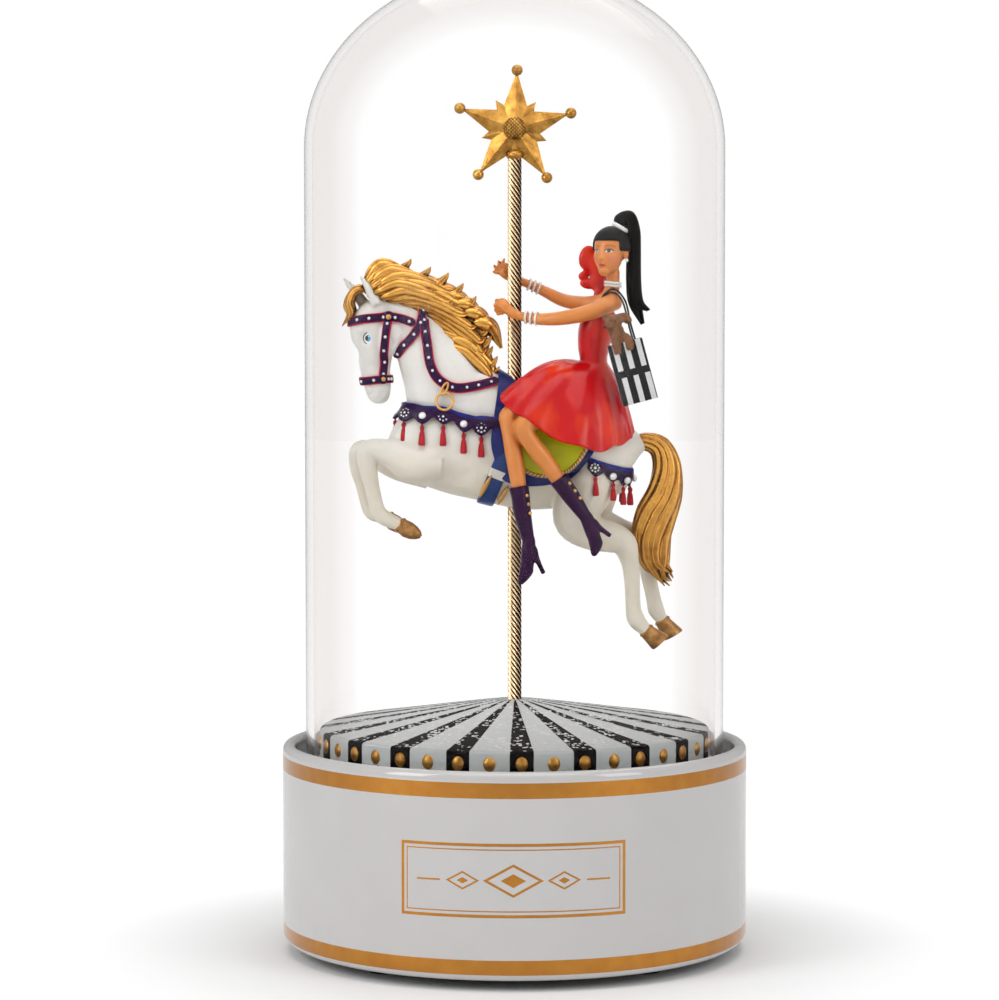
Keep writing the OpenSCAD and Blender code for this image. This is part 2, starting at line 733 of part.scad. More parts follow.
// Half section of the canopy: side wall, shallow cone and the boss that sits on the hub
module canopy_outline() {
  polygon([[0, hub_top], [hub_flange_r, hub_top],
    [canopy_r - canopy_t, canopy_edge_z - canopy_t], [canopy_r - canopy_t, canopy_bottom],
    [canopy_r, canopy_bottom], [canopy_r, canopy_edge_z - 0.8], [canopy_r - 0.8, canopy_edge_z],
    [pole_r + 2, canopy_apex_z], [0, canopy_apex_z]]);
}

module canopy() {
  color("white") difference() {
    rotate_extrude() canopy_outline();
    translate([0, 0, hub_top - 1]) cylinder(r = pole_r + grip_gap, h = canopy_apex_z);
    at_hub_screws() translate([0, 0, hub_flange_t - 0.1]) cylinder(d = hub_screw_d + 2 * grip_gap, h = 3.2);
  }
}

// Domed gold studs, one on each stripe of the side wall
module canopy_studs() {
  cap_r = (stud_w * stud_w / 4 + stud_out * stud_out) / (2 * stud_out);
  color("gold") for (i = [0 : stud_count - 1]) rotate(stripe_turn + 360 * i / stud_count)
    translate([canopy_r, 0, canopy_bottom + canopy_wall_h / 2]) rotate([0, 90, 0]) rotate_extrude($fn = 24)
      intersection() {
        translate([0, stud_out - cap_r]) circle(cap_r, $fn = 48);
        square([stud_w, stud_out + 1]);
      }
}

module pole() {
  color("darkgoldenrod") translate([0, 0, pole_bottom]) cylinder(r = pole_r, h = pole_top - pole_bottom);
}

// Five-pointed star with ridged arms, small rays between them, a ball on each point and a boss
module star_finial() {
  color("goldenrod") translate([0, 0, star_z]) {
    rotate([0, star_lean, 0]) {
      star_plate(star_r - ball_r, star_notch_r, star_t);
      rotate([0, 36, 0]) star_plate(star_ray_r, star_notch_r - 1, star_t - 1.2);
      for (i = [0 : 4]) rotate([0, 72 * i, 0]) translate([0, 0, star_r - eps]) sphere(ball_r, $fn = 24);
      rotate([90, 0, 0]) cylinder(r = star_boss_r, h = star_t + 0.6, center = true);
    }
    translate([0, 0, pole_top - star_z]) cylinder(r = pole_r + 0.5, h = 3);
  }
}

// Ridged star plate in the upright plane, with its points at r and its notches at n
module star_plate(r, n, t) {
  rim = [for (i = [0 : 9]) let (d = i % 2 == 0 ? r : n) [d * sin(36 * i), 0, d * cos(36 * i)]];
  points = concat(rim, [[0, -t / 2, 0], [0, t / 2, 0]]);
  polyhedron(points, concat(
    [for (i = [0 : 9]) [i, (i + 1) % 10, 10]],
    [for (i = [0 : 9]) [(i + 1) % 10, i, 11]]));
}

// ---------------------------------------------------------------- horse

// Stations along the horse's barrel, neck and head: [x, y, z, half width, half depth]
barrel_line = [[31.4, 0, 2, 1, 2.5], [29.8, 0, 2.2, 5, 6.8], [25, 0, 2.8, 8, 10.8], [15, 0, 3.4, 9, 12.8],
  [4, 0, 3, 8.9, 13.6], [-7, 0, 4.2, 8.7, 13], [-17, 0, 5.8, 8.4, 12.2], [-25, 0, 8, 7.6, 10.6],
  [-29.6, 0, 9.4, 5.4, 7.4], [-31.4, 0, 10, 1, 2.5]];
neck_line = [[-12, 0, 11, 7, 11], [-16, 0, 17, 6.8, 11.6], [-19, 0, 24, 6, 10.4], [-22.6, 0, 31, 4.9, 8.5],
  [-26.6, 0, 37.6, 4, 6.2], [-31, 0, 41, 3.6, 4.2], [-33.4, 0, 42, 1, 1]];
head_line = [[-31, 0, 43.4, 1, 1], [-33, 0, 41.8, 3.2, 3.4], [-36.6, 0, 36.4, 3.9, 5.4], [-36.1, 0, 29.6, 3.3, 4.3],
  [-35.9, 0, 24.4, 2.7, 3.5], [-35.2, 0, 20.4, 2.8, 3.4], [-34.8, 0, 17.2, 2.2, 2.4], [-34.7, 0, 16.2, 0.8, 0.8]];

// Joints of the legs, each [x, y, z, radius], from the body to the hoof
near_fore = [[-22, -5, -2.4, 5], [-29, -5.2, 1.4, 5], [-36.6, -5, 4.4, 3], [-37.2, -5, 1, 2.5], [-36, -4.8, -6, 1.95],
  [-34.6, -4.6, -11.6, 1.9], [-29.9, -4.4, -14.2, 1.6]];
far_fore = [[-22, 5, -2, 5], [-32, 5.2, 0.4, 3.8], [-40.2, 5, 4.2, 2.5], [-40.4, 5, -2, 1.9], [-38.6, 5, -9, 1.8],
  [-37.2, 5, -11.2, 1.9], [-33.8, 5, -13, 1.6]];
near_hind = [[22, -3.4, 1, 6.5], [18, -4.8, -14, 6.3], [25.4, -5.4, -18.8, 3.2], [28.4, -5.4, -19.6, 3.1],
  [30.2, -5.2, -27.4, 2.2], [30.5, -5, -35.5, 2], [31, -5, -38.5, 2.3], [33.3, -5, -41.2, 1.8]];
far_hind = [[22, 3.4, 1, 6.5], [20, 4.8, -12, 6.2], [30, 5.4, -17, 3.1], [33.2, 5.4, -19.6, 3],
  [34.6, 5.2, -27, 2.2], [36.2, 5, -34.5, 2], [36.8, 5, -37.4, 2.2], [38, 5, -39.4, 1.8]];

// Top of each hoof [x, y, z] and the way it points in the side view
hoof_len = 5;
hoof_seats = [[-29.3, -4.4, -14.5, 118], [-33.2, 5, -13.3, 120], [33.9, -5, -41.8, 136], [38.5, 5, -40, 150]];

function grown(line, d) = [for (s = line) [s[0], s[1], s[2], s[3] + d, s[4] + d]];

// Barrel, neck and head, thickened all over by d
module trunk(d = 0) {
  loft(grown(barrel_line, d), 12);
  loft(grown(neck_line, d));
}

module head_form(d = 0) {
  loft(grown(head_line, d), 10);
}

// Flat plate in the side view, cut through the whole width of the horse
module side_cut(points, y0 = -20, y1 = 20) {
  translate([0, y1, 0]) rotate([90, 0, 0]) linear_extrude(y1 - y0) polygon(points);
}

// Strap of width w laid over a thickened part of the horse between two points of the side view
module slab(a, b, w, y0 = -20, y1 = 20) {
  side_cut([for (s = [[0, -1], [1, -1], [1, 1], [0, 1]])
    a + (b - a) * s[0] + [-(b - a)[1], (b - a)[0]] / norm(b - a) * s[1] * w / 2], y0, y1);
}

module pole_hole(gap) {
  translate([0, 0, -60]) cylinder(r = pole_r + gap, h = 120);
}

module ear(y, base, tip) {
  hull() {
    translate([base[0], y, base[1]]) sphere(1.7, $fn = 8);
    translate([base[0] - 1, y, base[1] + 3]) sphere(1.4, $fn = 8);
    translate([tip[0], y, tip[1]]) sphere(0.4, $fn = 8);
  }
}

module legs_form() {
  for (leg = [near_fore, far_fore, near_hind, far_hind]) chain(leg, 6);
}

module horse_form() {
  trunk();
  head_form();
  legs_form();
  ear(-2.4, [-35.6, 43], [-39.4, 49.4]);
  ear(2.6, [-37.8, 41.6], [-44.4, 48.8]);
}

module at_hooves() {
  for (h = hoof_seats) translate([h[0], h[1], h[2]]) rotate([0, h[3], 0]) children();
}

module hoof_form() {
  cylinder(r1 = 1.9, r2 = 2.9, h = hoof_len);
}

module horse_body() {
  color("ivory") on_pole() difference() {
    horse_form();
    at_hooves() hoof_form();
    pole_hole(grip_gap);
  }
}

module hooves() {
  color("peru") on_pole() at_hooves() hoof_form();
}

// Crest of locks over the neck with its pointed tips, and the forelock
module mane_form() {
  loft([[-36, -0.6, 46.6, 1.2, 1.4], [-32, -0.8, 48.6, 4, 3.4], [-26, -1, 48, 5.2, 4.8], [-19.5, -1, 44.5, 5.6, 5],
    [-14, -1.2, 38.5, 5.8, 5], [-11, -1.4, 32.5, 5.6, 4.2], [-8, -1.6, 27.6, 4, 2.6], [-4.6, -1.6, 24.8, 1, 0.6]]);
  chain([[-39, -1, 44.4, 1.7], [-42.4, -1.2, 43, 1.6], [-43.8, -1.2, 39, 0.9], [-44.6, -1.2, 37.2, 0.4]]);
  for (tip = [[-26, -1, 53.4], [-17.2, -1, 49.8], [-10, -1, 44], [-6.6, -1, 37], [-5.8, -1, 31.2]])
    rod(tip + [-5, -1, -3.6], tip, 2.4, 0.4);
}

module mane() {
  color("goldenrod") on_pole() difference() {
    mane_form();
    horse_form();
  }
}

module tail() {
  color("goldenrod") on_pole() difference() {
    loft([[30, 0, 4.6, 1.4, 1.4], [32, 0, 5.8, 2.2, 2.2], [36.6, 0, 5.2, 2.6, 3], [39.1, 0, 0.5, 3, 3.9],
      [38.8, 0, -5.5, 3, 4.5], [36.2, 0.2, -12.5, 3, 5.2], [35.6, 0.4, -19, 2.8, 4.6], [37, 0.4, -24, 2.2, 3.4],
      [40.2, 0.4, -28.4, 0.8, 0.9]]);
    horse_form();
  }
}

// ---------------------------------------------------------------- tack

// Stroke of straps along a path in the side view
module strap_path(points, w) {
  for (i = [0 : len(points) - 2]) {
    slab(points[i], points[i + 1], w);
    translate([points[i + 1][0], 20, points[i + 1][1]]) rotate([90, 0, 0]) cylinder(d = w, h = 40, $fn = 8);
  }
}

module bridle() {
  color("indigo") on_pole() difference() {
    intersection() {
      union() {
        head_form(strap_t);
        loft(grown(neck_line, strap_t));
      }
      union() {
        strap_path([[-44, 37.2], [-32.3, 38.8], [-25.4, 36.9]], strap_w);
        strap_path([[-32.2, 38.6], [-34.1, 22.6], [-41, 22.2]], strap_w);
        strap_path([[-22.6, 44], [-24.3, 36.5], [-27, 32.8], [-31, 28.6]], strap_w);
      }
    }
    head_form();
    loft(neck_line);
    legs_form();
    mane_form();
  }
}

module neck_collar() {
  color("indigo") on_pole() difference() {
    intersection() {
      trunk(strap_t);
      strap_path([[-22.8, 35], [-22.2, 32], [-21.7, 27], [-19.6, 22.8], [-15.4, 20.7], [-10.6, 21], [-4.2, 22.4]], strap_w);
    }
    trunk();
    legs_form();
    mane_form();
    cloth_outline_cut();
    strap_path([[-22.6, 44], [-24.3, 36.5], [-27, 32.8]], strap_w + 0.1);
  }
}

// Ring in a loop whose end is let into the collar's face
module rein_ring() {
  color("gold") on_pole() difference() {
    union() {
      translate(ring_seat) rotate([78, 0, 0]) rotate_extrude()
        translate([ring_r, 0]) circle(ring_wire_r, $fn = 16);
      rod(ring_seat + [0.4, 0.2, ring_r], ring_seat + [1, 3, ring_r + 1], 0.5, 0.5);
    }
    trunk(strap_t);
  }
}

// Lower edge of a band with n drops
function scallops(x0, z0, x1, z1, n, drop) = [for (i = [0 : 2 * n])
  [x0 + (x1 - x0) * i / (2 * n), z0 + (z1 - z0) * i / (2 * n) - (i % 2) * drop]];

module breast_band() {
  color("indigo") on_pole() difference() {
    intersection() {
      trunk(strap_t);
      side_cut(concat([[-34, 17.2], [-23.8, 15.9], [-18, 16.1], [-15.4, 14.6], [-10.1, 13], [-4, 13]],
        scallops(-5, 10.4, -34, 13.4, 6, 1.6)));
    }
    trunk();
    legs_form();
    cloth_outline_cut();
  }
}

module crupper() {
  color("indigo") on_pole() difference() {
    intersection() {
      trunk(strap_t);
      side_cut(concat([[16, 4.6], [24, 2], [34, 0]], scallops(34, -2.4, 16, 1.4, 4, 1.5)));
    }
    trunk();
    legs_form();
    cloth_outline_cut();
    translate([30, -3, -4]) cube([8, 6, 12]);
  }
}

// Red tassels below the breast band and the crupper, and a pearl at the head of each
module tassels() {
  color("crimson") on_pole() difference() {
    intersection() {
      trunk(strap_t + 0.4);
      union() for (t = tassel_tops) {
        slab(t, t - [0, 5], 1.4);
      }
    }
    trunk();
    legs_form();
    cloth_outline_cut();
  }
}

tassel_tops = [[-28.3, 10.6], [-23.6, 10], [-18.4, 9.6], [-13.6, 9.2], [-8.7, 8.8],
  [22.8, -2.2], [26.4, -3.2]];

cloth_points = [[-5, 24], [-4.5, 21], [-5.6, 13.6], [-6.4, 6.3], [-4.6, 0.5], [-2.7, -3.1], [3, -4], [9.4, -3.7],
  [14.3, -2.3], [19.5, 3.2], [22, 7], [24, 12], [22.6, 24]];
saddle_points = [[-2.6, 24], [-2.2, 14], [-2.6, 7], [-0.4, 2.6], [3, 0], [7.9, -0.7], [12.4, 0], [15.6, 1.8], [18.2, 5.2],
  [20.4, 10], [20, 24]];

module cloth_outline_cut() {
  side_cut(cloth_points);
}

module saddle_cloth() {
  color("midnightblue") on_pole() difference() {
    intersection() {
      trunk(cloth_t);
      side_cut(cloth_points);
    }
    trunk();
    legs_form();
    pole_hole(slip);
  }
}

module saddle() {
  color("yellowgreen") on_pole() difference() {
    intersection() {
      trunk(cloth_t + saddle_t);
      side_cut(saddle_points);
    }
    trunk(cloth_t);
    legs_form();
    pole_hole(slip);
  }
}

module girth() {
  color("navy") on_pole() difference() {
    intersection() {
      trunk(strap_t);
      slab([-2.2, -1.4], [-9, -10.6], 4.4);
    }
    trunk();
    legs_form();
    cloth_outline_cut();
  }
}

// Brass bars across the girth on the near side
module girth_buckle() {
  color("darkgoldenrod") on_pole() difference() {
    intersection() {
      trunk(strap_t + 0.7);
      union() {
        slab([-7.8, -1.6], [-9.6, -6.2], 0.9, -20, 0);
        slab([-3.4, -4.8], [-5.2, -9.2], 0.9, -20, 0);
      }
    }
    trunk(strap_t);
    legs_form();
  }
}

// ---------------------------------------------------------------- rider

torso_line = [[19.4, -2, 19.4, 5.4, 4.6], [19.8, -2, 23, 4.8, 4.2], [20.3, -2, 27.5, 3.7, 3], [21, -2, 34.5, 4.8, 3.7],
  [23, -1.6, 41, 5.6, 2.9], [24.8, -1.4, 44.5, 2.6, 2.3], [25.3, -1.8, 48, 1.8, 1.9], [25.4, -2, 50.5, 1.2, 1.2]];
near_arm = [[26, -5.8, 42.6, 2.4], [20, -7.8, 40.3, 2.3], [12.7, -7.8, 38.4, 2], [6, -5.6, 38.2, 1.6], [2.2, -4.4, 38.8, 1.3],
  [-1.4, -4, 40, 1.3], [-3.7, -1.6, 41.4, 1.7]];
far_arm = [[22.2, 3.2, 43, 2.2], [17.5, 5, 42.4, 2], [12.7, 5.6, 43, 1.9], [7.5, 4.8, 45.6, 1.5], [4.4, 4.2, 46.8, 1.2],
  [1, 4, 48.4, 1.3], [-3.2, 2.2, 50, 1.4]];
near_leg = [[17, -5, 20.4, 4.4], [2.6, -15.6, 11.4, 2.9], [6.6, -15.2, 4.4, 2.4], [10.7, -14.9, -1.2, 2.2]];
far_leg = [[16, -3, 21.4, 4.2], [-1.8, -11.8, 14, 2.8], [-0.4, -13.6, 5, 2.4], [1, -14.2, -3.8, 2.2]];

module rider_form() {
  loft(torso_line);
  for (limb = [near_arm, far_arm, near_leg, far_leg]) chain(limb);
  hull() {
    translate([24.9, -2.2, 57.2]) sphere(4.9, $fn = 16);
    translate([23.2, -3.4, 51.2]) sphere(2.3, $fn = 12);
  }
  rod([-3.2, 2.2, 50], [-3.6, 0.6, 51.6], 1.2, 0.9);
}

module rider_body() {
  color("sandybrown") on_pole() difference() {
    rider_form();
    pole_hole(grip_gap);
    seat_cut();
  }
}

// The horse with its cloth and saddle, which the rider and the dress sit on
module seat_cut() {
  intersection() {
    trunk(cloth_t + saddle_t);
    side_cut(saddle_points);
  }
  intersection() {
    trunk(cloth_t);
    side_cut(cloth_points);
  }
  trunk();
}

module skirt_form() {
  hull() for (p = [[20.3, -2, 27.3, 3.7], [9, -8, 23, 2.2], [0.2, -9.6, 19.4, 1.6], [-2.4, -11.4, 17.8, 0.8],
      [1, -14.6, 15, 1.4], [5.6, -16.8, 12.4, 1], [13.4, -16.6, 8, 1], [21.5, -15, 6, 1], [27, -11.5, 7, 1], [29.4, -7, 8.8, 1],
      [28.6, 4, 10.4, 1.2], [18, 7, 17, 2]])
    translate([p[0], p[1], p[2]]) sphere(p[3], $fn = 8);
}

module dress() {
  color("red") on_pole() difference() {
    union() {
      intersection() {
        loft(grown(torso_line, 0.7));
        translate([0, -20, 20]) cube([40, 40, 21]);
      }
      skirt_form();
      chain([[21.6, 4.6, 44, 1.6], [19, 4.4, 48, 2.6], [18.4, 4.2, 53, 2.6], [20.4, 4, 55.2, 1.4]]);
    }
    rider_form();
    seat_cut();
    legs_form();
    bag_outer(0.1);
    pole_hole(slip);
  }
}

module hair() {
  color("black") on_pole() difference() {
    union() {
      translate([26, -1.2, 58.2]) sphere(5.2, $fn = 20);
      chain([[28, -1, 62.6, 2.6], [30.2, -1, 60, 2.4], [31, -1, 50, 2.1], [31.4, -1.4, 42, 1.8], [33.2, -2, 37, 0.7]], 10);
    }
    rider_form();
  }
}

module boot(top, ankle, toe, heel) {
  chain([[top[0], top[1], top[2], 2.6], [ankle[0], ankle[1], ankle[2], 1.8]], 12);
  rod(ankle, toe, 1.9, 1.2, 10);
  rod(ankle + [0.6, 0, -1.2], heel, 1.2, 0.6, 8);
}

module boots() {
  color("indigo") on_pole() difference() {
    union() {
      boot([1.2, -14.2, -4.6], [3.6, -14.2, -18], [1.9, -14.8, -28], [7.2, -13.6, -26.2]);
      boot([11.6, -14.9, -2.6], [18, -14.6, -12], [20.4, -14.8, -20.2], [24, -14, -16.8]);
    }
    rider_form();
  }
}

// Pearl choker and three strings on each wrist
module jewellery() {
  color("white") on_pole() difference() {
    union() {
      translate([25.3, -1.8, 47.4]) rotate([4, -8, 0]) rotate_extrude($fn = 18) translate([2.2, 0]) circle(0.45, $fn = 6);
      for (k = [0 : 2]) {
        translate([3.2 + k * 1.2, -4.8 - k * 0.35, 38.6 - k * 0.12]) rotate([0, 90, 16]) rotate_extrude($fn = 16)
          translate([1.6, 0]) circle(0.4, $fn = 6);
        translate([5 + k * 1.1, 4.35 + k * 0.2, 46.6 - k * 0.42]) rotate([0, 110, 10]) rotate_extrude($fn = 16)
          translate([1.5, 0]) circle(0.4, $fn = 6);
      }
    }
    rider_form();
  }
}

module at_bag() {
  translate([29.9, -12.4, 24.9]) rotate([0, bag_lean, 0]) children();
}

module bag_outer(gap = 0) {
  at_bag() cube([bag_w + 2 * gap, bag_d + 2 * gap, bag_h + 2 * gap], center = true);
}

module bag() {
  color("black") on_pole() at_bag() difference() {
    cube([bag_w, bag_d, bag_h], center = true);
    translate([0, 0, bag_wall]) cube([bag_w - 2 * bag_wall, bag_d - 2 * bag_wall, bag_h], center = true);
  }
}

module bag_strap() {
  color("black") on_pole() difference() {
    union() {
      chain([[24.4, -5, 46, 0.4], [26.6, -7.8, 45.2, 0.4], [28.2, -9.2, 42, 0.4], [29.4, -11.2, 36, 0.4],
        [30.4, -14.6, 31.4, 0.4]], 6);
      chain([[24.4, -5, 46, 0.4], [25.4, -3.4, 45.4, 0.4], [28.4, -5.4, 42, 0.4], [29.4, -7.8, 37, 0.4],
        [30, -10.2, 31.4, 0.4]], 6);
    }
    rider_form();
    bag_outer(0);
  }
}

module dog() {
  color("saddlebrown") on_pole() difference() {
    union() {
      chain([[27, -12.4, 29, 1.6], [26.4, -12.2, 33, 2.1], [25.6, -12.4, 37.4, 2.2], [24.2, -13.4, 36.8, 1.2]], 10);
      rod([27.2, -12.2, 38.6], [28.6, -12, 37], 1, 0.8);
      for (x = [25.2, 27.8]) rod([x, -13.6, 33], [x + 0.4, -14.8, 29.6], 0.9, 0.8);
    }
    bag_outer(0);
    rider_form();
  }
}

// ---------------------------------------------------------------- assembly

base_shell();
deck_bush();
bottom_cover();
rubber_feet();
cover_screws();
dome_seal();
bedplate();
comb_block();
comb();
comb_screws();
left_bearing();
gear_bracket();
governor_bracket();
movement_screws();
clutch_spring();
thrust_washer();
winding_arbor();
winding_key();
tune_cylinder();
cylinder_arbor();
crown_pinion();
cylinder_wheel();
governor_arbor();
governor_pinion();
worm_wheel();
worm_shaft();
air_brake();
glass_dome();
mainspring_barrel();
barrel_cap();
mainspring();
drive_shaft();
turntable_hub();
hub_screws();
canopy();
canopy_studs();
pole();
star_finial();
horse_body();
hooves();
mane();
tail();
bridle();
neck_collar();
rein_ring();
breast_band();
crupper();
tassels();
saddle_cloth();
saddle();
girth();
girth_buckle();
rider_body();
dress();
hair();
boots();
jewellery();
bag();
bag_strap();
dog();
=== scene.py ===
from math import atan2, cos, pi, radians, sin

import bmesh
import bpy
from mathutils import Euler, Matrix, Vector, noise
from mathutils.bvhtree import BVHTree


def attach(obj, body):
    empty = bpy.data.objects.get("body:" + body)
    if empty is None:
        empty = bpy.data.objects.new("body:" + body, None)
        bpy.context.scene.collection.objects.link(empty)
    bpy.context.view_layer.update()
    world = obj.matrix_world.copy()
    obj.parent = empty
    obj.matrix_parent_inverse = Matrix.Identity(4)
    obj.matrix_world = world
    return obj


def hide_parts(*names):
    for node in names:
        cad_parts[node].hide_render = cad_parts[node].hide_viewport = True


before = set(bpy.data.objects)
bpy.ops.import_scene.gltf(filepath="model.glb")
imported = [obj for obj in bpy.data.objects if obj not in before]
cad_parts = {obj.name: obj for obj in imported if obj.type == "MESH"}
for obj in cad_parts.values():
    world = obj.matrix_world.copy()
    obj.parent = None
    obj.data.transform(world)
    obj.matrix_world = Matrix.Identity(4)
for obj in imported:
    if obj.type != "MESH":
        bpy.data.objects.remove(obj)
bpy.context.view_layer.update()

# ---- Camera and studio: a long lens a little above the drum, soft boxes to both sides and overhead,
# a black card behind the lens that keeps the glass clear, and a white world.
box_middle = (0, 0, 0.12)
camera = bpy.data.objects.new("camera", bpy.data.cameras.new("camera"))
bpy.context.scene.collection.objects.link(camera)
looks_down, focal_pixels, sensor_mm, frame_pixels = 3.494, 3436.5, 36, 1000
camera.location = (0, -0.88635, 0.17064)
camera.rotation_euler = (radians(90 - looks_down), 0, 0)
camera.data.lens = sensor_mm * focal_pixels / frame_pixels
camera.data.shift_x = -0.0151
camera.data.clip_start = 0.05
bpy.context.scene.camera = camera
bpy.context.scene.view_settings.view_transform = "Standard"


def soft_box(name, place, aim, width, height, power):
    light = bpy.data.objects.new(name, bpy.data.lights.new(name, "AREA"))
    light.data.shape, light.data.size, light.data.size_y = "RECTANGLE", width, height
    light.data.energy = power
    light.location = place
    light.rotation_euler = (Vector(aim) - Vector(place)).to_track_quat("-Z", "Y").to_euler()
    bpy.context.scene.collection.objects.link(light)


soft_box("left_box", (-0.62, -0.45, 0.42), box_middle, 0.3, 0.6, 2.5)
soft_box("right_box", (0.66, -0.5, 0.36), box_middle, 0.3, 0.6, 1.7)
soft_box("top_box", (0, -0.25, 0.85), (0, 0, 0.1), 0.7, 0.5, 2.3)
soft_box("back_box", (0.1, 0.5, 0.95), box_middle, 0.9, 0.5, 2.2)


def flat_sheet(name, material, place, size):
    """A square of the studio, which isn't part of the object."""
    bm = bmesh.new()
    bmesh.ops.create_grid(bm, x_segments=1, y_segments=1, size=size, matrix=place)
    mesh = bpy.data.meshes.new(name)
    bm.to_mesh(mesh)
    bm.free()
    mesh.materials.append(material)
    sheet = bpy.data.objects.new(name, mesh)
    bpy.context.scene.collection.objects.link(sheet)
    return sheet


card_paint = bpy.data.materials.new("black_card")
card_paint.use_nodes = True
card_paint.node_tree.nodes["Principled BSDF"].inputs["Base Color"].default_value = (0.02, 0.02, 0.02, 1)
card = flat_sheet("black_card", card_paint,
                  Matrix.Translation((0, -1.0, 0.25)) @ Matrix.Rotation(pi / 2, 4, "X")
                  @ Matrix.Diagonal((0.62, 0.9, 1, 1)), 0.5)
card.visible_camera = card.visible_diffuse = card.visible_transmission = card.visible_shadow = False

world = bpy.data.worlds.new("studio")
bpy.context.scene.world = world
world.use_nodes = True
sky = world.node_tree
seen = sky.nodes.new("ShaderNodeLightPath")
strength = sky.nodes.new("ShaderNodeMapRange")
strength.inputs["To Min"].default_value = 0.40
steps = []
for operation, values in (("MAXIMUM", ("Is Camera Ray", "Is Transmission Ray")),
                          ("LESS_THAN", ("Diffuse Depth", 0.5)), ("MULTIPLY", ())):
    step = sky.nodes.new("ShaderNodeMath")
    step.operation = operation
    for socket, value in zip(step.inputs, values or [s.outputs[0] for s in steps]):
        if isinstance(value, float):
            socket.default_value = value
        else:
            sky.links.new(seen.outputs[value] if isinstance(value, str) else value, socket)
    steps.append(step)
sky.links.new(steps[-1].outputs[0], strength.inputs["Value"])
sky.links.new(strength.outputs[0], sky.nodes["Background"].inputs["Strength"])
sky.nodes["Background"].inputs["Color"].default_value = (1, 1, 1, 1)


# ---- Ceramic drum: a slip-cast drum with a rounded foot and a rolled rim round the deck, glazed
# white. Its bands and the double frame on the front are fired gold lustre.
class Value:
    """An output socket; + - * / < > on it add the maths nodes."""

    def __init__(self, surface, socket):
        self.surface, self.socket = surface, socket

    def maths(self, operation, *values):
        return self.surface.node("Math", {"operation": operation}, dict(enumerate((self,) + values)))

    def __add__(self, other):
        return self.maths("ADD", other)

    def __sub__(self, other):
        return self.maths("SUBTRACT", other)

    def __rsub__(self, other):
        return self.surface.node("Math", {"operation": "SUBTRACT"}, {0: other, 1: self})

    def __mul__(self, other):
        return self.maths("MULTIPLY", other)

    def __truediv__(self, other):
        return self.maths("DIVIDE", other)

    def __lt__(self, other):
        return self.maths("LESS_THAN", other)

    def __gt__(self, other):
        return self.maths("GREATER_THAN", other)

    __radd__, __rmul__ = __add__, __mul__

    def soft(self, low, high):
        """0 at low and 1 at high, smoothly between."""
        return self.surface.node("MapRange", {"interpolation_type": "SMOOTHSTEP"},
                                 {"Value": self, "From Min": low, "From Max": high})

    def band(self, low, high):
        """1 between low and high."""
        return (self > low) * (self < high)


class Surface:
    """A material on a Principled shader."""

    def __init__(self, name, **settings):
        self.material = bpy.data.materials.new(name)
        self.material.use_nodes = True
        self.tree = self.material.node_tree
        self.shader = self.tree.nodes["Principled BSDF"]
        self.place = self.node("TexCoord", out="Object")
        self.set(**settings)

    def feed(self, socket, value):
        if isinstance(value, Value):
            self.tree.links.new(value.socket, socket)
        elif socket.type == "RGBA":
            socket.default_value = (*value, 1)[:4]
        else:
            socket.default_value = value

    def node(self, kind, settings=(), inputs=(), out=0):
        new = self.tree.nodes.new("ShaderNode" + kind)
        for key, value in dict(settings).items():
            if key == "stops":
                while len(new.color_ramp.elements) < len(value):
                    new.color_ramp.elements.new(0.5)
                for element, (position, colour) in zip(new.color_ramp.elements, value):
                    element.position, element.color = position, (*colour, 1)
            else:
                setattr(new, key, value)
        for key, value in dict(inputs).items():
            self.feed(new.inputs[key], value)
        return Value(self, new.outputs[out])

    def set(self, **values):
        for key, value in values.items():
            self.feed(self.shader.inputs[key.replace("_", " ").title().replace("Ior", "IOR")], value)
        return self

    def axis(self, name):
        return self.node("SeparateXYZ", (), {0: self.place}, name)

    def mix(self, amount, first, second):
        return self.node("Mix", {"data_type": "RGBA"}, {0: amount, 6: first, 7: second}, 2)

    def ramp(self, value, *stops):
        """A colour ramp through (position, colour) stops."""
        return self.node("ValToRGB", {"stops": stops}, {0: value})

    def shade_in_hollows(self, reach):
        """Ambient occlusion, used to paint shade: near 0 in recesses narrower than reach metres, 1 on open
        ground.
        """
        return self.node("AmbientOcclusion", {"samples": 8}, {"Distance": reach}, "AO")

    def inside(self, place):
        """The point in a turned frame of the object's, in millimetres."""
        local = self.node("Mapping", {"vector_type": "TEXTURE"},
                          {"Vector": self.place, "Location": place.translation, "Rotation": place.to_euler()})
        return [self.node("SeparateXYZ", (), {0: local}, a) * 1000 for a in "XYZ"]

    def grain(self, size, detail=2.0, rough=0.5, stretch=(1, 1, 1)):
        """Noise whose lumps are about size metres across."""
        where = self.node("Mapping", {"vector_type": "POINT"}, {"Vector": self.place, "Scale": stretch})
        return self.node("TexNoise", (), {"Vector": where, "Scale": 1 / size, "Detail": detail,
                                          "Roughness": rough})

    def cells(self, size, out="Distance"):
        return self.node("TexVoronoi", {"feature": "F1"}, {"Vector": self.place, "Scale": 1 / size}, out)

    def attribute(self, name):
        return self.node("Attribute", {"attribute_name": name}, (), "Fac")

    def bump(self, height, depth):
        """Relief of the given depth in metres."""
        self.set(normal=self.node("Bump", (), {"Height": height, "Strength": 1.0, "Distance": depth}))
        return self


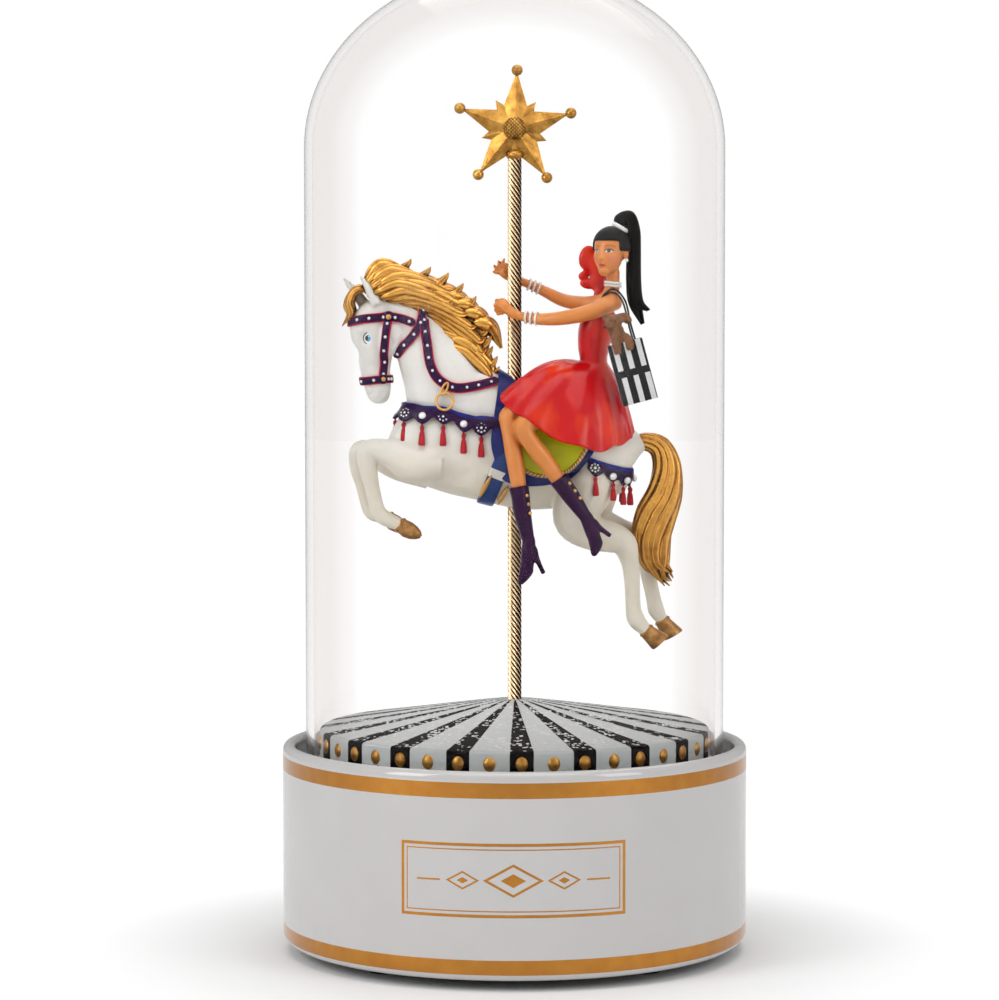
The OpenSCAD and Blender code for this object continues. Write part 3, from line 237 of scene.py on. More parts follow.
def spun(bm, outline, steps=160):
    """Spins a closed outline of (radius, height) in millimetres round the upright axis."""
    row = [bm.verts.new((r / 1000, 0, z / 1000)) for r, z in outline]
    edges = [bm.edges.new(pair) for pair in zip(row, row[1:] + row[:1])]
    bmesh.ops.spin(bm, geom=row + edges, cent=(0, 0, 0), axis=(0, 0, 1), angle=2 * pi, steps=steps,
                   use_merge=True)
    bmesh.ops.remove_doubles(bm, verts=bm.verts, dist=1e-7)
    bmesh.ops.recalc_face_normals(bm, faces=bm.faces)


def round_corner(cx, cz, r, start, end, steps=6):
    return [(cx + r * cos(radians(start + (end - start) * i / steps)),
             cz + r * sin(radians(start + (end - start) * i / steps))) for i in range(steps + 1)]


def finished(name, bm, body, surface, replaces=(), crease=40):
    """The bmesh as a smooth piece that rides on a body and stands for CAD nodes."""
    mesh = bpy.data.meshes.new(name)
    bm.to_mesh(mesh)
    bm.free()
    mesh.shade_smooth()
    mesh.set_sharp_from_angle(angle=radians(crease))
    mesh.materials.append(surface.material)
    piece = bpy.data.objects.new(name, mesh)
    bpy.context.scene.collection.objects.link(piece)
    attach(piece, body)
    if replaces:
        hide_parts(*replaces)
    return piece


glaze = Surface("white_glaze", roughness=0.09, coat_weight=0.35, coat_roughness=0.04)
x, y, z = (glaze.axis(a) for a in "XYZ")
round_r = (x * x + y * y).maths("SQRT")
wall = round_r > 0.0592
lustre = wall * (z.band(0.0043, 0.0080) + z.band(0.0476, 0.0514))
along = x.maths("ARCTAN2", 0 - y) * 0.06 + 0.0003
up = z - 0.02755
from_frame = (along.maths("ABSOLUTE") - 0.0284).maths("MAXIMUM", up.maths("ABSOLUTE") - 0.0091)
double = from_frame.band(-0.00075, 0.0) + from_frame.band(-0.0017, -0.0014)
lozenge = along.maths("ABSOLUTE") * 0.55 + up.maths("ABSOLUTE")
side = (along.maths("ABSOLUTE") - 0.0125).maths("ABSOLUTE") * 0.55 + up.maths("ABSOLUTE")
sprig = (lozenge.band(0.0034, 0.0041) + (lozenge < 0.0017) + side.band(0.0018, 0.0023) + (side < 0.0008)
         + (up.maths("ABSOLUTE") < 0.00022) * along.maths("ABSOLUTE").band(0.0182, 0.0242))
gold = (lustre + (double + sprig) * (y < 0) * wall).maths("MINIMUM", 1)
mottle = glaze.grain(0.012, 3)
glaze.set(base_color=glaze.mix(gold, glaze.mix(mottle, (0.53, 0.515, 0.505), (0.575, 0.56, 0.55)),
                               glaze.mix(glaze.grain(0.004, 4), (0.42, 0.15, 0.016), (0.58, 0.26, 0.04))),
          metallic=gold, roughness=0.06 + gold * (0.08 + 0.12 * glaze.grain(0.0015, 3)))
glaze.bump(glaze.grain(0.02, 1) + gold * 0.4, 0.00006)

bm = bmesh.new()
spun(bm, round_corner(57, 5.5, 3, -90, 0) + [(60, 8), (60, 51.2)] + round_corner(58.3, 52.3, 1.7, 0, 180, 12)
     + [(56.6, 49)] + round_corner(55.9, 48.7, 0.7, 0, -90, 4)
     + [(30, 48), (4.02, 48), (4.02, 44), (30, 44), (54.5, 44), (55.5, 43), (55.5, 20), (55.5, 2.5)])
for turn in (0, 120, 240):
    bmesh.ops.create_cone(bm, segments=24, radius1=0.004, radius2=0.004, depth=0.014, cap_ends=True,
                          matrix=Matrix.Rotation(radians(turn), 4, "Z")
                          @ Matrix.Translation((0.0522, 0, 0.013)))
finished("drum", bm, "base", glaze, ["base_shell"])


# ---- Underside: four rubber feet, a moulded black cover with a well for the key, and its screws.
# The cover carries the movement on posts.
def dress(surface, *nodes):
    """Gives CAD nodes this surface in place of their plain one."""
    for name in nodes:
        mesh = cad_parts[name].data
        mesh.materials.clear()
        mesh.materials.append(surface.material)


rubber = Surface("foot_rubber", base_color=(0.018, 0.018, 0.018), specular_ior_level=0.3)
rubber.set(roughness=0.65 + 0.25 * rubber.grain(0.0008)).bump(rubber.grain(0.0003, 3), 0.00005)
dress(rubber, "rubber_feet")

cover = Surface("cover_plastic", roughness=0.5)
cover.set(base_color=cover.mix(cover.grain(0.006), (0.025, 0.025, 0.026), (0.04, 0.04, 0.041)))
cover.bump(cover.cells(0.0004), 0.00004)
dress(cover, "bottom_cover")

steel = Surface("bright_steel", metallic=1.0)
steel.set(base_color=steel.mix(steel.grain(0.003), (0.52, 0.52, 0.53), (0.66, 0.66, 0.66)),
          roughness=0.2 + 0.22 * steel.grain(0.0006, 4, 0.6, (1, 1, 12)))
steel.bump(steel.grain(0.0004, 3, 0.6, (1, 1, 14)), 0.00001)
dress(steel, "cover_screws", "movement_screws", "comb_screws", "hub_screws", "clutch_spring", "winding_arbor",
      "winding_key", "cylinder_arbor", "governor_arbor", "governor_pinion", "worm_shaft", "drive_shaft",
      "turntable_hub")

# ---- Movement: stamped and turned brass on a bedplate, a ground steel comb, a blued mainspring
# and a moulded air brake, all hidden in the drum.
brass = Surface("satin_brass", metallic=1.0)
brass.set(base_color=brass.mix(brass.grain(0.004, 4), (0.62, 0.42, 0.16), (0.78, 0.56, 0.25)),
          roughness=0.24 + 0.2 * brass.grain(0.0008, 3, 0.6, (14, 1, 1)))
brass.bump(brass.grain(0.0003, 2, 0.6, (14, 1, 1)), 0.000012)
dress(brass, "deck_bush", "bedplate", "comb_block", "left_bearing", "gear_bracket", "governor_bracket",
      "tune_cylinder", "crown_pinion", "cylinder_wheel", "worm_wheel", "mainspring_barrel", "barrel_cap")

ground = Surface("ground_steel", metallic=1.0)
ground.set(base_color=ground.mix(ground.grain(0.002), (0.5, 0.51, 0.53), (0.7, 0.7, 0.71)),
           roughness=0.16 + 0.3 * ground.grain(0.0004, 3, 0.6, (1, 30, 1)))
dress(ground, "comb")

blued = Surface("blued_spring", metallic=1.0, roughness=0.3)
blued.set(base_color=blued.mix(blued.grain(0.004), (0.06, 0.09, 0.2), (0.16, 0.15, 0.22)))
dress(blued, "mainspring")

moulded = Surface("moulded_plastic", roughness=0.42)
moulded.set(base_color=moulded.mix(moulded.grain(0.005), (0.72, 0.71, 0.68), (0.82, 0.81, 0.78)))
moulded.bump(moulded.grain(0.0006, 3), 0.00003)
dress(moulded, "air_brake", "thrust_washer", "dome_seal")

# ---- Glass dome: a blown tube with a round crown, cut flat at the bottom and fire-polished. It
# stands on the sealing ring inside the rim.
glass = Surface("clear_glass", transmission_weight=1.0, ior=1.1, roughness=0.0)
# The glass is painted grey by the viewing angle, light grey towards the edges of the outline and darker at
# its very rim: painted shade for the grey bands at the dome's edges.
grazing = glass.node("LayerWeight", (), {"Blend": 0.5}, "Facing")
painted_edge_shade = glass.mix(grazing.soft(0.34, 0.41), (1, 1, 1), (0.925, 0.908, 0.898))
glass.set(base_color=glass.mix(grazing.soft(0.8, 1.0), painted_edge_shade, (0.70, 0.70, 0.70)))
dome_r, dome_wall, crown_low, crown_high = 54, 2, 207, 46
bm = bmesh.new()
outside, inside = ([((dome_r - d) * cos(radians(a)), crown_low + (crown_high - d) * sin(radians(a)))
                    for a in range(0, 90, 3)] for d in (0, dome_wall))
spun(bm, [(53.4, 49), (54, 49.6), (54, 128)] + outside + [(0.001, 253), (0.001, 251)] + inside[::-1]
     + [(52, 128), (52, 49.6), (52.6, 49)])
finished("dome", bm, "dome", glass, ["glass_dome"])

# ---- Striped canopy: a turned disc whose shallow cone and side wall are painted in black and
# white wedges, strewn with clear and silver glitter while the varnish is wet.
stripes = Surface("striped_paint", specular_ior_level=0.05)
x, y, z = (stripes.axis(a) for a in "XYZ")
r = (x * x + y * y).maths("SQRT")
wedge, first_stripe = 9, 2
turn = (x.maths("ARCTAN2", 0 - y) * (180 / pi) - first_stripe + (360 + wedge)
        + 0.25 * (stripes.grain(0.006) - 0.5))
off_black = (turn.maths("MODULO", 2 * wedge) - wedge).maths("ABSOLUTE")
black = 1 - off_black.soft(3.25, 3.45)
top = z.soft(0.0577, 0.0581)
strewn = stripes.grain(0.008, 4, 0.6).soft(0.36, 0.66)
chip = stripes.cells(0.00085, "Color")
pick = stripes.node("SeparateColor", (), {0: chip}, "Red")
tint = stripes.node("SeparateColor", (), {0: chip}, "Green")
fleck = (pick > (0.95 - strewn * 0.5)) * top * (stripes.cells(0.00085) < 0.62)
# The white paint is lighter on the top cone than on the side wall and underside: painted light on the top and
# painted shade on the wall.
white = stripes.mix(top, (0.58, 0.61, 0.60), (0.70, 0.71, 0.71))
painted = stripes.mix(black, white, (0.006, 0.004, 0.004))
stripes.set(base_color=stripes.mix(fleck, painted, stripes.mix(tint, (0.86, 0.86, 0.84), (0.62, 0.6, 0.55))),
            metallic=fleck * 0.35, roughness=0.6 - 0.25 * fleck)
stripes.bump(fleck * tint + 0.7 * off_black.soft(3.0, 3.7) + 0.3 * stripes.grain(0.0009, 3), 0.00022)
bm = bmesh.new()
spun(bm, [(15, 56.8), (47.5, 55.1), (47.5, 51), (50.3, 51), (50.5, 51.2), (50.5, 57)]
     + round_corner(49.7, 57.1, 0.8, 10, 75, 5)
     + [(40, 59.4), (20, 62.6), (9, 64.3), (4.2, 64.95), (3.5, 65), (1.84, 65), (1.84, 56.8)], 240)
finished("striped_canopy", bm, "carousel", stripes, ["canopy"], 30)

# ---- Canopy studs: forty pressed brass ovals, one on each wedge, painted antique gold.
antique = Surface("antique_gold", metallic=0.85)
rubbed = antique.grain(0.0022, 4, 0.6)
antique.set(base_color=antique.ramp(rubbed, (0.25, (0.15, 0.06, 0.012)), (0.48, (0.36, 0.17, 0.03)),
                                    (0.75, (0.60, 0.33, 0.08))), roughness=0.46 - 0.2 * rubbed)
antique.bump(antique.grain(0.0006, 3), 0.00005)
bm = bmesh.new()
for i in range(360 // wedge):
    seat = (Matrix.Rotation(radians(wedge * i + first_stripe), 4, "Z")
            @ Matrix.Translation((0.0504, 0, 0.0547))
            @ Matrix.Diagonal((0.0007, 0.00158, 0.0019, 1)) @ Matrix.Rotation(pi / 2, 4, "Y"))
    bmesh.ops.create_uvsphere(bm, u_segments=14, v_segments=8, radius=1, matrix=seat)
finished("studs", bm, "carousel", antique, ["canopy_studs"])

# ---- Pole: a brass tube drawn with fine rope flutes, which twist left-handed up to the star.
lobes, low, high, lay, steps = 9, 0.0544, 0.2052, 0.013, 450
lobe = (1, 0.985, 0.94, 0.87, 0.84, 0.87, 0.94, 0.985)
rope = Surface("rope_brass", metallic=1.0)
x, y, z = (rope.axis(a) for a in "XYZ")
# The colour follows the twisted flutes, near black on part of each flute and bright brass on the rest:
# painted shade and painted highlight on the flutes.
flute_light_and_shade = (y.maths("ARCTAN2", x) * lobes + (z - low) * (2 * pi * lobes / lay)).maths("COSINE") * -0.5 + 0.5
rope.set(base_color=rope.mix(flute_light_and_shade.soft(0.25, 0.8), (0.025, 0.012, 0.006), (0.90, 0.66, 0.40)),
         roughness=0.2 + 0.15 * rope.grain(0.002, 3))
bm = bmesh.new()
ring = bmesh.ops.create_circle(bm, segments=lobes * len(lobe), radius=0.0018)["verts"]
for i, v in enumerate(ring):
    v.co *= lobe[i % len(lobe)]
    v.co.z = low
edges = list({e for v in ring for e in v.link_edges})
bmesh.ops.spin(bm, geom=ring + edges, cent=(0, 0, 0), axis=(0, 0, 1), dvec=(0, 0, (high - low) / steps),
               angle=-2 * pi * (high - low) / lay, steps=steps)
bmesh.ops.holes_fill(bm, edges=bm.edges, sides=0)
bmesh.ops.recalc_face_normals(bm, faces=bm.faces)
finished("rope_pole", bm, "carousel", rope, ["pole"])

# ---- Star finial: a cast five-pointed star with ridged arms, short rays between them, a ball on
# each point and a lattice boss, on a ball at the top of the pole.
star_z = 0.212
star_place = Matrix.Translation((0, 0, star_z)) @ Matrix.Rotation(radians(2.5), 4, "Y")


def ridged_star(bm, reach, notch, thick, turn):
    """Five ridged arms, in millimetres, turned by degrees in the star's plane."""
    rim = bmesh.ops.create_circle(bm, segments=10, radius=0.001, cap_ends=True)["verts"]
    for i, v in enumerate(rim):
        v.co = v.co.normalized() * (reach if i % 2 == 0 else notch) / 1000
    centre = bmesh.ops.poke(bm, faces=list({f for v in rim for f in v.link_faces}))["verts"][0]
    faces = list(centre.link_faces)
    back = bmesh.ops.duplicate(bm, geom=faces)
    new_centre = next(v for v in back["geom"] if isinstance(v, bmesh.types.BMVert) and v.co.length < 1e-6)
    centre.co.z, new_centre.co.z = thick / 2000, -thick / 2000
    bmesh.ops.remove_doubles(bm, verts=bm.verts, dist=1e-6)
    verts = [v for v in bm.verts if not v.tag]
    first = max(verts, key=lambda v: v.co.length)
    lean = atan2(first.co.y, first.co.x)
    bmesh.ops.transform(bm, verts=verts, matrix=star_place @ Matrix.Rotation(radians(turn), 4, "Y")
                        @ Matrix.Rotation(pi / 2, 4, "X") @ Matrix.Rotation(pi / 2 - lean, 4, "Z"))
    for v in verts:
        v.tag = True


bm = bmesh.new()
ridged_star(bm, 14.7, 5.8, 4.4, 0)
ridged_star(bm, 8.8, 4.4, 3.2, 36)
for arm in range(5):
    tip = star_place @ Matrix.Rotation(radians(72 * arm), 4, "Y") @ Matrix.Translation((0, 0, 0.0150))
    bmesh.ops.create_uvsphere(bm, u_segments=20, v_segments=12, radius=0.00145, matrix=tip)
bmesh.ops.create_uvsphere(bm, u_segments=28, v_segments=14, radius=1, matrix=star_place
                          @ Matrix.Diagonal((0.0031, 0.0027, 0.0031, 1)) @ Matrix.Rotation(pi / 2, 4, "X"))
bmesh.ops.create_uvsphere(bm, u_segments=24, v_segments=12, radius=1,
                          matrix=Matrix.Translation((0, 0, 0.2053))
                          @ Matrix.Diagonal((0.0023, 0.0023, 0.0015, 1)))
bmesh.ops.recalc_face_normals(bm, faces=bm.faces)
star_gold = Surface("star_gold", metallic=0.85)
x, y, z = (star_gold.axis(a) for a in "XYZ")
lattice = ((x + z - star_z) * 3400).maths("SINE").maths("ABSOLUTE").maths(
    "MINIMUM", ((x - z + star_z) * 3400).maths("SINE").maths("ABSOLUTE"))
boss = 1 - (x * x + (z - star_z) * (z - star_z)).maths("SQRT").soft(0.0027, 0.0031)
rubbed = star_gold.grain(0.003, 4, 0.6)
shade = rubbed - 0.5 * boss * (1 - lattice.soft(0.15, 0.5))
star_gold.set(base_color=star_gold.ramp(shade, (0.2, (0.11, 0.045, 0.008)), (0.45, (0.33, 0.155, 0.026)),
                                        (0.72, (0.54, 0.29, 0.06))), roughness=0.45 - 0.18 * rubbed)
star_gold.bump(star_gold.grain(0.0008, 4) + boss * lattice.soft(0.1, 0.5), 0.00012)
finished("star", bm, "carousel", star_gold, ["star_finial"], 20)

# ---- Horse: cast in ivory resin and rubbed down, with the legs gathered for a leap. The pole
# passes through the back. The eyes are touched in with a fine brush; the nostrils and ears are modelled.
floor_of_horse = 125


def at(p):
    """A point in millimetres from the horse's datum to metres."""
    return Vector((p[0], p[1], p[2] + floor_of_horse)) / 1000


def curve(points, steps):
    """Catmull-Rom through rows of numbers."""
    rows = [[2 * a - b for a, b in zip(points[0], points[1])], *points,
            [2 * a - b for a, b in zip(points[-1], points[-2])]]
    made = []
    for i in range(1, len(rows) - 2):
        for k in range(steps):
            t = k / steps
            made.append([0.5 * (2 * b + (c - a) * t + (2 * a - 5 * b + 4 * c - d) * t * t
                                + (3 * b - a - 3 * c + d) * t ** 3)
                         for a, b, c, d in zip(*rows[i - 1:i + 3])])
    return made + [list(points[-1])]


def tube(bm, places, sides=16, square=1.0):
    """Sweeps a ring through matrices; 'along' runs 0 to 1 and 'around' is the ring's cosine."""
    for name in ("along", "around"):
        if bm.verts.layers.float.get(name) is None:
            bm.verts.layers.float.new(name)
    part = bmesh.new()
    along, around = part.verts.layers.float.new("along"), part.verts.layers.float.new("around")
    ring = bmesh.ops.create_circle(part, segments=sides, radius=1)["verts"]
    for i, v in enumerate(ring):
        a = 2 * pi * i / sides
        v[around] = cos(a)
        v.co = places[0] @ Vector([abs(f) ** square * (1 if f > 0 else -1) for f in (cos(a), sin(a))] + [0])
    first = edges = list(part.edges)
    for k, place in enumerate(places[1:], 1):
        new = bmesh.ops.extrude_edge_only(part, edges=edges)["geom"]
        edges = [e for e in new if isinstance(e, bmesh.types.BMEdge)]
        verts = [v for v in new if isinstance(v, bmesh.types.BMVert)]
        bmesh.ops.transform(part, matrix=place @ places[k - 1].inverted(), verts=verts)
        for v in verts:
            v[along] = k / (len(places) - 1)
    for end in (first, edges):
        bmesh.ops.edgeloop_fill(part, edges=end)
    bmesh.ops.recalc_face_normals(part, faces=part.faces)
    mesh = bpy.data.meshes.new("part")
    part.to_mesh(mesh)
    part.free()
    bm.from_mesh(mesh)
    bpy.data.meshes.remove(mesh)


def frames(line, across=(0, 1, 0)):
    """Matrices for rows of x, y, z in metres and one or two half sizes in millimetres."""
    spots = [Vector(row[:3]) for row in line]
    places = []
    for i, row in enumerate(line):
        run = (spots[min(i + 1, len(spots) - 1)] - spots[max(i - 1, 0)]).normalized()
        side = (Vector(across) - run * run.dot(across)).normalized()
        places.append(Matrix((side, run.cross(side), run)).transposed().to_4x4()
                      @ Matrix.Diagonal((row[3] / 1000, row[-1] / 1000, 1, 1)))
        places[-1].translation = spots[i]
    return places


def limb(bm, line, sides=18, steps=6, across=(0, 1, 0)):
    """A round bar along rows of x, y, z and one or two half sizes, from the horse's datum."""
    rows = [[*at(row[:3]), *[max(r, 0.1) for r in row[3:]]] for row in curve(line, steps)]
    tube(bm, frames(rows, across), sides)


def melted(bm, voxel, rounds):
    """Joins overlapping tubes into one skin and rubs it smooth."""
    mesh = bpy.data.meshes.new("rough")
    bmesh.ops.recalc_face_normals(bm, faces=bm.faces)
    bm.to_mesh(mesh)
    bm.free()
    rough = bpy.data.objects.new("rough", mesh)
    bpy.context.scene.collection.objects.link(rough)
    skin = rough.modifiers.new("skin", "REMESH")
    skin.mode, skin.voxel_size = "VOXEL", voxel / 1000
    rub = rough.modifiers.new("rub", "SMOOTH")
    rub.factor, rub.iterations = 0.5, rounds
    grown = bmesh.new()
    grown.from_object(rough, bpy.context.evaluated_depsgraph_get())
    bpy.data.objects.remove(rough)
    return grown


def press(bm, spot, radius, move):
    """Moves the skin round a point, most in the middle, as a modelling tool does."""
    spot, move = at(spot), Vector(move) / 1000
    for v in bm.verts:
        near = (v.co - spot).length * 1000 / radius
        if near < 1:
            v.co += move * (1 - near * near) ** 2


bm = bmesh.new()
limb(bm, [[31.6, 0, 2, 1, 2.5], [30.4, 0, 2.6, 5.2, 6.8], [25.5, 0, 2.8, 8.2, 10.6], [15, 0, 3.2, 9, 13],
          [4, 0, 2.8, 8.9, 13.8], [-7, 0, 4.2, 8.7, 13], [-17, 0, 5.8, 8.4, 12.2], [-25, 0, 8, 7.6, 10.6],
          [-29.6, 0, 9.6, 5.4, 7.2], [-31.2, 0, 10.4, 1, 2.5]], 28)
limb(bm, [[-12, 0, 11, 7, 11], [-16, 0, 17, 6.8, 11.6], [-19, 0, 24, 6, 10.2], [-22.8, 0, 31, 4.9, 8.3],
          [-26.6, 0, 37, 4, 6.2], [-31, 0, 41, 3.6, 4.2], [-33.4, 0, 42, 1, 1]], 24)
limb(bm, [[-17, 0, 20, 3, 4], [-13, 0, 18, 5.6, 9.6], [-7, 0, 14.4, 6.6, 10.2], [0, 0, 10, 7, 10],
          [8, 0, 8, 7, 8.4], [14, 0, 7, 4, 5]], 24)
limb(bm, [[-30.6, 0, 44, 1, 1], [-32.6, 0, 42.2, 3.1, 3.4], [-36.4, 0, 36.6, 3.7, 5.9],
          [-36.1, 0, 30.4, 3.2, 4.9], [-35.9, 0, 25, 2.6, 3.9], [-35.3, 0, 20.8, 2.7, 3.5],
          [-34.9, 0, 17.6, 2.2, 2.5], [-34.8, 0, 16.4, 0.9, 0.9]], 24)
for cheek in (-1, 1):
    limb(bm, [[-31, 2.0 * cheek, 38, 1, 1], [-31.6, 2.4 * cheek, 35.2, 2.3, 3.4],
              [-32.6, 2.2 * cheek, 31, 2, 2.8], [-33.4, 1.6 * cheek, 28.6, 0.8, 1]])
limb(bm, [[-19, -4.4, 1, 4.6], [-26, -5.2, 1.4, 5.2], [-32, -5.2, 3.9, 3.7], [-37.4, -5, 4.6, 2.7],
          [-37.7, -5, 0.8, 2.5], [-36.6, -4.9, -5, 2.0], [-35, -4.7, -11, 1.9], [-33.4, -4.6, -12.8, 2.1],
          [-30.4, -4.4, -14.2, 1.7], [-28.8, -4.3, -14.8, 1.6]])
limb(bm, [[-22, 5, -1, 5], [-31, 5.2, 0.6, 4], [-39.6, 5, 4.4, 2.6], [-40.8, 5, 0.6, 2.3],
          [-39.6, 5, -5, 1.8], [-38, 5, -11, 1.8], [-36.4, 5, -12.4, 2], [-33.4, 5, -13.4, 1.6],
          [-32.4, 5, -13.8, 1.6]])
limb(bm, [[22, -1, 1, 6.5], [18, -4.0, -6, 7], [15.4, -4.8, -13, 5.6], [20, -5.2, -16.6, 4.6],
          [25, -5.4, -17.8, 4], [28.2, -5.4, -19.6, 3.4], [29.6, -5.3, -24, 2.4], [30.2, -5.2, -29, 2.1],
          [30.5, -5.1, -35.5, 2], [31.2, -5, -38.8, 2.3], [33.4, -5, -41.4, 1.8], [34.2, -5, -42.3, 1.7]])
limb(bm, [[22, 1, 1, 6.5], [20, 4.2, -8, 6.4], [20, 4.9, -14, 5], [26, 5.3, -17, 4.2], [31, 5.4, -18.6, 3.3],
          [33.6, 5.3, -21.6, 2.6], [34.8, 5.1, -28, 2.1], [36.2, 5, -34.5, 2], [36.9, 5, -37.4, 2.2],
          [38.3, 5, -39.8, 1.7], [38.9, 5, -40.8, 1.6]])
for base, middle, tip in (([-35.2, -2.6, 42], [-37.2, -3, 46], [-39.7, -3, 49.4]),
                          ([-38.2, 2.4, 41], [-41.4, 2.8, 45.4], [-44.4, 2.8, 48.8])):
    limb(bm, [[*base, 2.0, 1.7], [*middle, 1.5, 1.3], [*tip, 0.35, 0.3]], 12)
bm = melted(bm, 0.42, 5)
for cheek in (-1, 1):
    press(bm, (-38.2, 3.5 * cheek, 33.2), 2.2, (0, -0.75 * cheek, 0))
    press(bm, (-37.6, 3.6 * cheek, 33.3), 1.1, (0, 0.55 * cheek, 0))
    press(bm, (-39.4, 3.2 * cheek, 35.8), 1.8, (-0.4, 0.5 * cheek, 0))
    press(bm, (-37.4, 2.3 * cheek, 18.8), 0.95, (0.3, -0.9 * cheek, 0))
    press(bm, (-37.2, 2.6 * cheek, 20.2), 1.2, (-0.3, 0.45 * cheek, 0))
    for k in range(6):
        press(bm, (-37 + 0.8 * k, 2.4 * cheek, 17.2 + 0.12 * k * k), 0.55, (0, -0.35 * cheek, 0.1))
    press(bm, (-36.2, 3.2 * cheek, 26), 2.4, (0, -0.55 * cheek, 0))
    press(bm, (-31.4, 4.6 * cheek, 32.4), 1.3, (0, -0.5 * cheek, 0))
    press(bm, (-36.0 if cheek < 0 else -40.4, 3.6 * cheek, 45), 1.5, (0.25, -0.9 * cheek, 0))
    press(bm, (-22, 8 * cheek, 1), 6, (0, 0.9 * cheek, 0))
    press(bm, (-14, 8 * cheek, -2), 4.5, (0, -0.8 * cheek, 0))
    press(bm, (22, 8 * cheek, -3), 7, (0, 0.8 * cheek, 0))
    press(bm, (10, 8.6 * cheek, -4), 5, (0, -0.7 * cheek, 0))
press(bm, (-41.2, 0, 29.5), 3.2, (0.6, 0, 0))
horse_skin = BVHTree.FromBMesh(bm)

ivory = Surface("ivory_resin", coat_weight=0.12, coat_roughness=0.3)
x, y, z = (ivory.axis(a) for a in "XYZ")
worn = ivory.grain(0.006, 4, 0.6)
cream = ivory.mix(worn.soft(0.2, 0.9), (0.76, 0.69, 0.56), (0.83, 0.77, 0.66))
pale = ivory.mix(worn.soft(0.2, 0.9), (0.78, 0.76, 0.71), (0.84, 0.83, 0.80))
# The resin is warmer and a little darker below a height of about 118 mm, and pale above 142 mm.
resin = ivory.mix(z.soft(0.118, 0.142), cream, pale)
# Darker and browner in the creases, from the ambient-occlusion mask: painted shade.
resin = ivory.mix(1 - ivory.shade_in_hollows(0.006).soft(0.15, 0.75), resin, (0.62, 0.52, 0.38))


def brushed(surface, centre, across, up):
    """How far a point is from a painted dot, 1 on its rim, in the upright plane."""
    x, z = surface.axis("X") - centre[0] / 1000, surface.axis("Z") - (centre[1] + floor_of_horse) / 1000
    return ((x / (across / 1000)).maths("POWER", 2) + (z / (up / 1000)).maths("POWER", 2)).maths("SQRT")


on_head = y.maths("ABSOLUTE") > 0.0018
lash = brushed(ivory, (-37.2, 33.3), 1.75, 1.75)
lash_line = lash.band(0.86, 1.0) * (x < -0.0378) * brushed(ivory, (-38.4, 33.4), 1.2, 1.9).soft(1.0, 0.8)
paint = resin
# The dots paint the white of the eye, the blue iris, the black pupil and a small white glint, a painted
# highlight.
for centre, across, up, low, high, colour in (
        ((-37.7, 33.3), 1.05, 1.15, 0.9, 1.0, (0.9, 0.9, 0.9)),
        ((-37.6, 33.3), 0.72, 0.95, 0.85, 1.0, (0.03, 0.33, 0.62)),
        ((-38.0, 33.3), 0.42, 0.7, 0.85, 1.05, (0.004, 0.004, 0.006)),
        ((-37.4, 33.8), 0.18, 0.2, 0.8, 1.0, (0.95, 0.97, 1))):
    dot = 1 - brushed(ivory, centre, across, up).soft(low, high)
    paint = ivory.mix(dot * on_head, paint, colour)
paint = ivory.mix(lash_line * on_head, paint, (0.01, 0.01, 0.012))
ivory.set(base_color=paint, roughness=0.36 + 0.12 * worn)
ivory.bump(ivory.grain(0.0009, 3) + 0.6 * ivory.grain(0.004, 2), 0.00006)
finished("horse", bm, "carousel", ivory, ["horse_body"], 60)

# ---- Hooves: cast with the legs, each with a coronet and a flat sole, painted dark copper gold.
copper = Surface("copper_gold", metallic=0.6)
rubbed = copper.grain(0.0018, 4, 0.6)
copper.set(base_color=copper.ramp(rubbed, (0.25, (0.14, 0.055, 0.016)), (0.5, (0.34, 0.155, 0.042)),
                                  (0.78, (0.55, 0.30, 0.095))), roughness=0.5 - 0.18 * rubbed)
copper.bump(copper.grain(0.0006, 3, 0.6, (1, 1, 0.3)), 0.00008)
bm = bmesh.new()
fore_hoof = [(-0.8, 1.5, 0), (-0.3, 1.95, 0), (0.1, 2.2, 0), (0.5, 2.0, 0), (2.2, 2.25, 0.1),
             (4.0, 1.95, 0.3), (5.3, 1.3, 0.5), (6.1, 0.5, 0.6)]
hind_hoof = [(-0.8, 1.5, 0), (-0.3, 1.95, 0), (0.1, 2.2, 0), (0.5, 2.0, 0), (2.4, 2.35, 0.3),
             (4.4, 2.75, 0.6), (4.9, 2.6, 0.7), (4.9, 2.0, 0.7), (4.6, 0.6, 0.7)]
for spot, lean, rows in (((-29.4, -4.4, -14.6), 126, fore_hoof), ((-33.0, 5, -13.5), 128, fore_hoof),
                         ((33.9, -5, -41.8), 138, hind_hoof), ((38.5, 5, -40.2), 150, hind_hoof)):
    place = Matrix.Translation(at(spot)) @ Matrix.Rotation(radians(lean), 4, "Y")
    tube(bm, [place @ Matrix.Translation((-shift / 1000, 0, h / 1000))
              @ Matrix.Diagonal((r / 1000, r * 0.82 / 1000, 1, 1)) for h, r, shift in rows], 24)
bmesh.ops.recalc_face_normals(bm, faces=bm.faces)
finished("gilt_hooves", bm, "carousel", copper, ["hooves"], 50)

# ---- Mane, forelock and tail: modelled lock by lock with flame tips, then painted in the same
# antique gold as the star, with brown left in the grooves and painted shade darkening them further.
hair_gold = Surface("hair_gold", metallic=0.8)
turned = hair_gold.attribute("around").maths("ARCCOSINE")
strand = (turned * 7 + hair_gold.attribute("along") * 4).maths("SINE") * 0.5 + 0.5
rubbed = hair_gold.grain(0.0024, 4, 0.6) * 0.6 + 0.4 * strand
